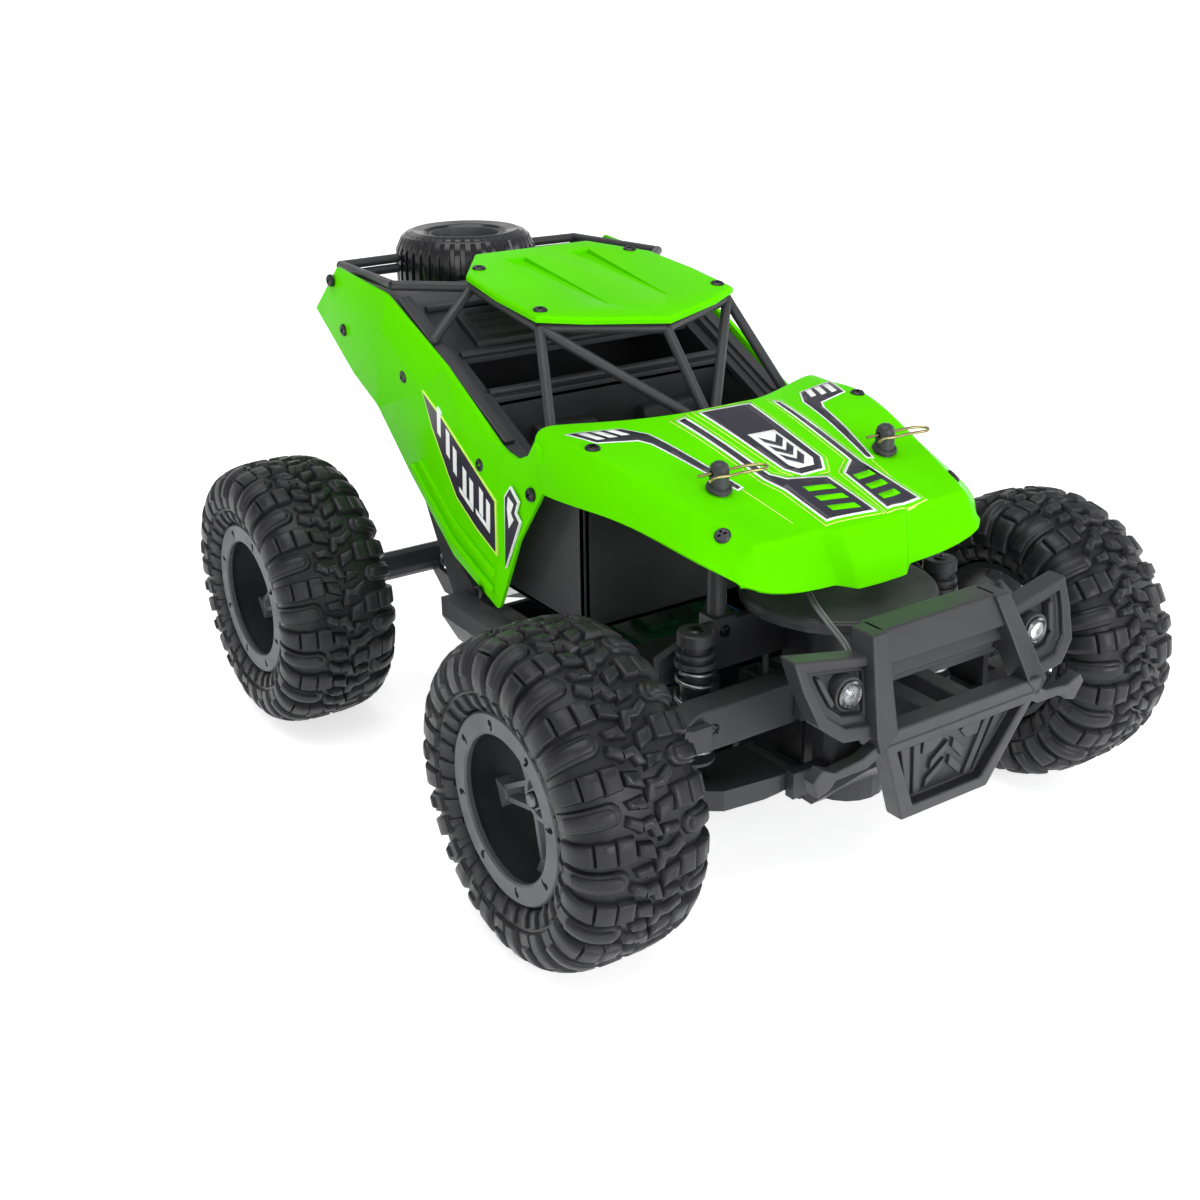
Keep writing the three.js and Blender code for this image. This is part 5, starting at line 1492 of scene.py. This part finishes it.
def add_lamp(name, side):
    """A headlamp: reflector cup, bulb, clear lens and collar, one behind the other."""
    x, z, radius = LENS
    centre = (x, BUMPER_FACE + 3.1 + lean_back(z), z)
    cup = [
        (radius + 0.5, 3.4), (radius + 0.5, -0.3), (radius, -0.7), (radius - 0.5, -0.2), (1.9, 2.0),
        (0, 2.4), (0, 3.4),
    ]
    glass = [(0, -1.5), (1.3, -1.3), (2.2, -0.8), (radius - 0.4, -0.1), (radius - 0.4, 0.4), (0, -0.3)]
    collar = [(radius + 0.5, 0.2), (radius + 1.4, 0.2), (radius + 1.4, 6), (radius + 0.5, 6)]
    new_piece(f"lamp_cup_{name}", solid(lathe, cup, "Y", centre, 40), CHROME, side=side)
    bulb = bmesh.new()
    place = Matrix.Translation((x, centre[1] + 1.2, z))
    bmesh.ops.create_uvsphere(bulb, u_segments=20, v_segments=12, radius=1.5, matrix=place)
    new_piece(f"lamp_bulb_{name}", bulb, CHROME, side=side)
    lens = solid(lathe, glass, "Y", centre, 40)
    new_piece(f"lamp_glass_{name}", lens, CLEAR, replaces=f"headlight_lens_{name}", side=side)
    new_piece(f"lamp_collar_{name}", solid(lathe, collar, "Y", centre, 40), bevel=0.2, side=side)


LEAD_ROUTE = [
    (-14, -9, 84.8), (-16.5, -13, 86.6), (-19.5, -19, 86.2), (-21.5, -26, 84.6), (-22.8, -33, 82.4),
    (-24, -38, 80),
]
LEAD_PITCH = 1.1


def add_lead():
    """Two cores side by side, from under the nose to the lamp panel."""
    bm = bmesh.new()
    for offset in (-LEAD_PITCH / 2, LEAD_PITCH / 2):
        path = smooth_path([(x + offset, y, z) for x, y, z in LEAD_ROUTE], 8)
        tube(bm, path, 0.48, 10)
    new_piece("lamp_lead", bm, LEAD, replaces="headlight_lead", smooth=60)


# ---------- front suspension ----------
LOWER_LINK_Z, UPPER_LINK_Z = 33, 58
LINK_INNER, LINK_OUTER = 20, 56
EYE = 3.3


def add_front_arms():
    """The boxed upper arms with their eyes, and the screws of both pairs of arms."""
    inner, outer, z = LINK_INNER - EYE, LINK_OUTER + EYE, UPPER_LINK_Z
    arm = [
        (inner, z - 3), (inner + 6, z - 6), (outer - 5, z - 6), (outer, z - 3), (outer, z + 3),
        (outer - 5, z + 6), (inner + 9, z + 6), (inner, z + 3),
    ]
    eyes = []
    for x in (LINK_INNER, LINK_OUTER):
        eyes.append(([(x - 1.5, z - 1.5), (x + 1.5, z - 1.5), (x + 1.5, z + 1.5), (x - 1.5, z + 1.5)], -20,
            0))
    for name, side in SIDES:
        link = f"upper_link_{name}"
        upper = solid(cut_plate, arm, -16, -7.5, eyes)
        new_piece(f"upper_arm_{name}_look", upper, body=link, replaces=f"upper_arm_{name}", bevel=0.5,
            side=side)
        add_screw(f"upper_arm_screw_{name}", (side * 50, -16, z), (0, -1, 0), 1.7, link)
        for x, y, body in ((LINK_INNER, -14.2, "car_body"), (LINK_OUTER, -9.2, f"lower_link_{name}")):
            add_screw(f"lower_arm_screw_{name}_{x}", (side * x, y, LOWER_LINK_Z), (0, -1, 0), 1.7, body)


# for each end: (x, y), foot, top, body of the rod, joint, the height of the spring's fixed end in metres,
# the share of its length that it keeps, the screw's depth below the top, and the eye's half width and axis
SHOCKS = {
    "front": ((45, -1), 33, 79.5, "front_shock_rod", "front_suspension", 0.0697, 0.8725, 0.2, (2.3, "Y")),
    "rear": ((32, 155), 38, 98, "rear_shock_rod", "rear_suspension", 0.0882, 0.8716, 1.0, (1.7, "X")),
}
COIL_RADIUS, WIRE, TURNS, TURN_STEPS, COIL_EASE = 5, 0.6, 5, 28, 0.09
SEAT_RISE, SEAT_THICK, FLANGE_DROP = 8, 1.4, 9.8


def coil_path(bottom, top):
    """A helix whose turns lie closer together at its ends."""
    steps = TURNS * TURN_STEPS
    path = []
    for i in range(steps + 1):
        t = i / steps
        angle = t * TURNS * 2 * math.pi
        eased = t - COIL_EASE * math.sin(2 * math.pi * t)
        path.append((COIL_RADIUS * math.cos(angle), COIL_RADIUS * math.sin(angle),
            bottom + eased * (top - bottom)))
    return path


def shock_cylinder(x, y, flange, top):
    """The hollow cylinder with its collar rings and cap."""
    return solid(lathe, [
        (2.2, flange + 0.8), (2.2, top - 24), (4, top - 24), (4, flange), (5.7, flange),
        (5.7, flange + 1.6), (4.4, flange + 1.6), (4.4, flange + 2.9), (5.3, flange + 2.9),
        (5.3, flange + 4.1), (3.8, flange + 4.1), (3.8, top - 3.6), (5, top - 3.6), (5, top - 0.5),
        (4.5, top), (0, top), (0, flange + 0.8),
    ], "Z", (x, y, 0), 48)


def shock_shaft(x, y, foot, top, eye_half, eye_axis):
    """The rod with its spring seat, and the eye at its foot."""
    seat = foot + SEAT_RISE
    rod = solid(lathe, [(0, foot + 1.6), (1.3, foot + 1.6), (1.3, top - 14.6), (0, top - 14.6)], "Z",
        (x, y, 0), 24)
    dish = [(0, seat), (4.9, seat), (5.7, seat + 0.5), (5.7, seat + SEAT_THICK), (0, seat + SEAT_THICK)]
    lathe(rod, dish, "Z", (x, y, 0), 40)
    lathe(rod, [(1.3, -eye_half), (2.3, -eye_half), (2.3, eye_half), (1.3, eye_half)], eye_axis, (x, y, foot),
        28)
    return rod


def add_shock(end, name, side):
    (x, y), foot, top, body, joint, anchor, keep, screw_drop, eye = SHOCKS[end]
    flange = top - FLANGE_DROP
    cylinder = shock_cylinder(x, y, flange, top)
    new_piece(f"shock_cylinder_{end}_{name}", cylinder, replaces=f"shock_body_{end}_{name}", bevel=0.2,
        side=side)
    add_screw(f"shock_screw_{end}_{name}", (side * x, y, top - screw_drop), (0, 0, 1), SCREW_HEAD)
    shaft = shock_shaft(x, y, foot, top, *eye)
    rod_name = f"shock_rod_{end}_{name}"
    new_piece(f"shock_shaft_{end}_{name}", shaft, GREY, f"{body}_{name}", rod_name, bevel=0.15, side=side)
    clear = WIRE + 0.3
    spring = solid(tube, coil_path(foot + SEAT_RISE + SEAT_THICK + clear, flange - clear), WIRE, 10)
    spring.transform(Matrix.Translation((x, y, 0)))
    spring_name = f"shock_spring_{end}_{name}"
    coil = new_piece(f"coil_{end}_{name}", spring, SPRING_STEEL, replaces=spring_name, side=side, smooth=80)
    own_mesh(coil)


# ---------- body clips, posts and chassis details ----------
POST_X, POST_Y, POST_TOP, POST_HOLE = 29.8, 9.5, 120, 117.3
CLIP_ROUTE = [
    (-7, 0), (0, 0), (8, 0), (12, -1), (13.5, -3), (11.5, -5), (8, -4.6), (4, -4.2), (0, -4.4), (-4, -3.6),
    (-7, -5),
]
GROMMET_SLOPE = math.atan(0.27)


def add_clip(name, side):
    """The bent wire clip that runs through its post."""
    path = smooth_path([(side * POST_X + x, POST_Y + y, POST_HOLE) for x, y in CLIP_ROUTE], 8)
    clip = f"body_clip_{name}"
    new_piece(f"clip_wire_{name}", solid(tube, path, 0.42, 12), BRASS, clip, clip, smooth=80)


def add_post(name, side):
    """A round-topped body post with a cross hole, and the grommet round it on the bonnet."""
    outline = [
        (0, 76), (2.75, 76), (2.75, POST_TOP - 2.2), (2.3, POST_TOP - 0.7), (1.2, POST_TOP + 0.1),
        (0, POST_TOP + 0.2),
    ]
    hole = solid(tube, [(POST_X - 5, POST_Y, POST_HOLE), (POST_X + 5, POST_Y, POST_HOLE)], 0.85, 16)
    post = finished(solid(lathe, outline, "Z", (POST_X, POST_Y, 0), 32), "post", BLACK, TO_ROW)
    post = carve(post, finished(hole, "post_hole", BLACK, TO_ROW))
    if side < 0:
        post.transform(Matrix.Diagonal((-1, 1, 1, 1)))
        post.flip_normals()
    place_piece(f"body_post_{name}", post)
    grommet = solid(lathe, [(2.8, 0), (3.7, 0), (3.4, 0.9), (2.8, 1.0)], "Z", (0, 0, 0), 32)
    grommet.transform(Matrix.Translation((POST_X, POST_Y, 112.75)) @ Matrix.Rotation(GROMMET_SLOPE, 4, "X"))
    new_piece(f"post_grommet_{name}", grommet, side=side)


FLOOR_SCREWS = ((40.5, 40), (27, 110), (10.8, 0))
FLOOR_SCREW_Z = 23.9
TOWER_SCREWS = ((-44, 67), (44, 67), (-30, 73), (30, 73))


def add_chassis_details():
    """The round cover and column under the nose, and the screws of the floor and the shock tower."""
    cover = [
        (0, 83.8), (26.2, 83.8), (27.2, 83), (27.2, 81.6), (26, 80.3), (12.6, 80.2), (12.2, 78), (0, 78),
    ]
    new_piece("nose_cover", solid(lathe, cover, "Z", (0, -6, 0), 72), smooth=30)
    column = [(0, 56), (12.2, 56), (12.2, 79.5), (0, 79.5)]
    new_piece("nose_column", solid(lathe, column, "Z", (0, -12, 0), 56), smooth=40)
    for name, side in SIDES:
        for index, (x, y) in enumerate(FLOOR_SCREWS):
            add_screw(f"floor_screw_{name}_{index}", (side * x, y, FLOOR_SCREW_Z), (0, 0, -1), SCREW_HEAD)
    for index, (x, z) in enumerate(TOWER_SCREWS):
        add_screw(f"tower_screw_{index}", (x, 5.3, z), (0, -1, 0), 1.8)


CAD_MATERIALS = {
    "servo_horn": CAD_GREY, "layshaft_gear": NYLON, "motor_pinion": BRASS, "drive_motor": STEEL,
    "rear_axle": STEEL, "battery_pack": WRAP, "receiver_board": SOLDER_MASK, "side_skirts": CAD_GREY,
    "power_switch": CAD_GREY, "steering_servo": CAD_GREY, "steering_knuckle_left": CAD_GREY,
    "steering_knuckle_right": CAD_GREY,
}


# ---------- end ----------
add_camera()
add_studio()
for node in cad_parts:
    paint_node(node, CAD_MATERIALS.get(node, CAD_BLACK))
add_wheels()
add_body_shell()
add_stickers()
add_roll_cage()
add_deck()
add_tub()
add_deck_rails()
add_bay_lining()
add_tub_lid()
add_dashboard()
add_steering_wheel()
add_hatch()
add_spare()
add_bumper()
add_lead()
add_front_arms()
add_chassis_details()
for label, sign in SIDES:
    add_seat(label, sign)
    add_lamp(label, sign)
    add_clip(label, sign)
    add_post(label, sign)
    for end in ENDS:
        add_shock(end, label, sign)
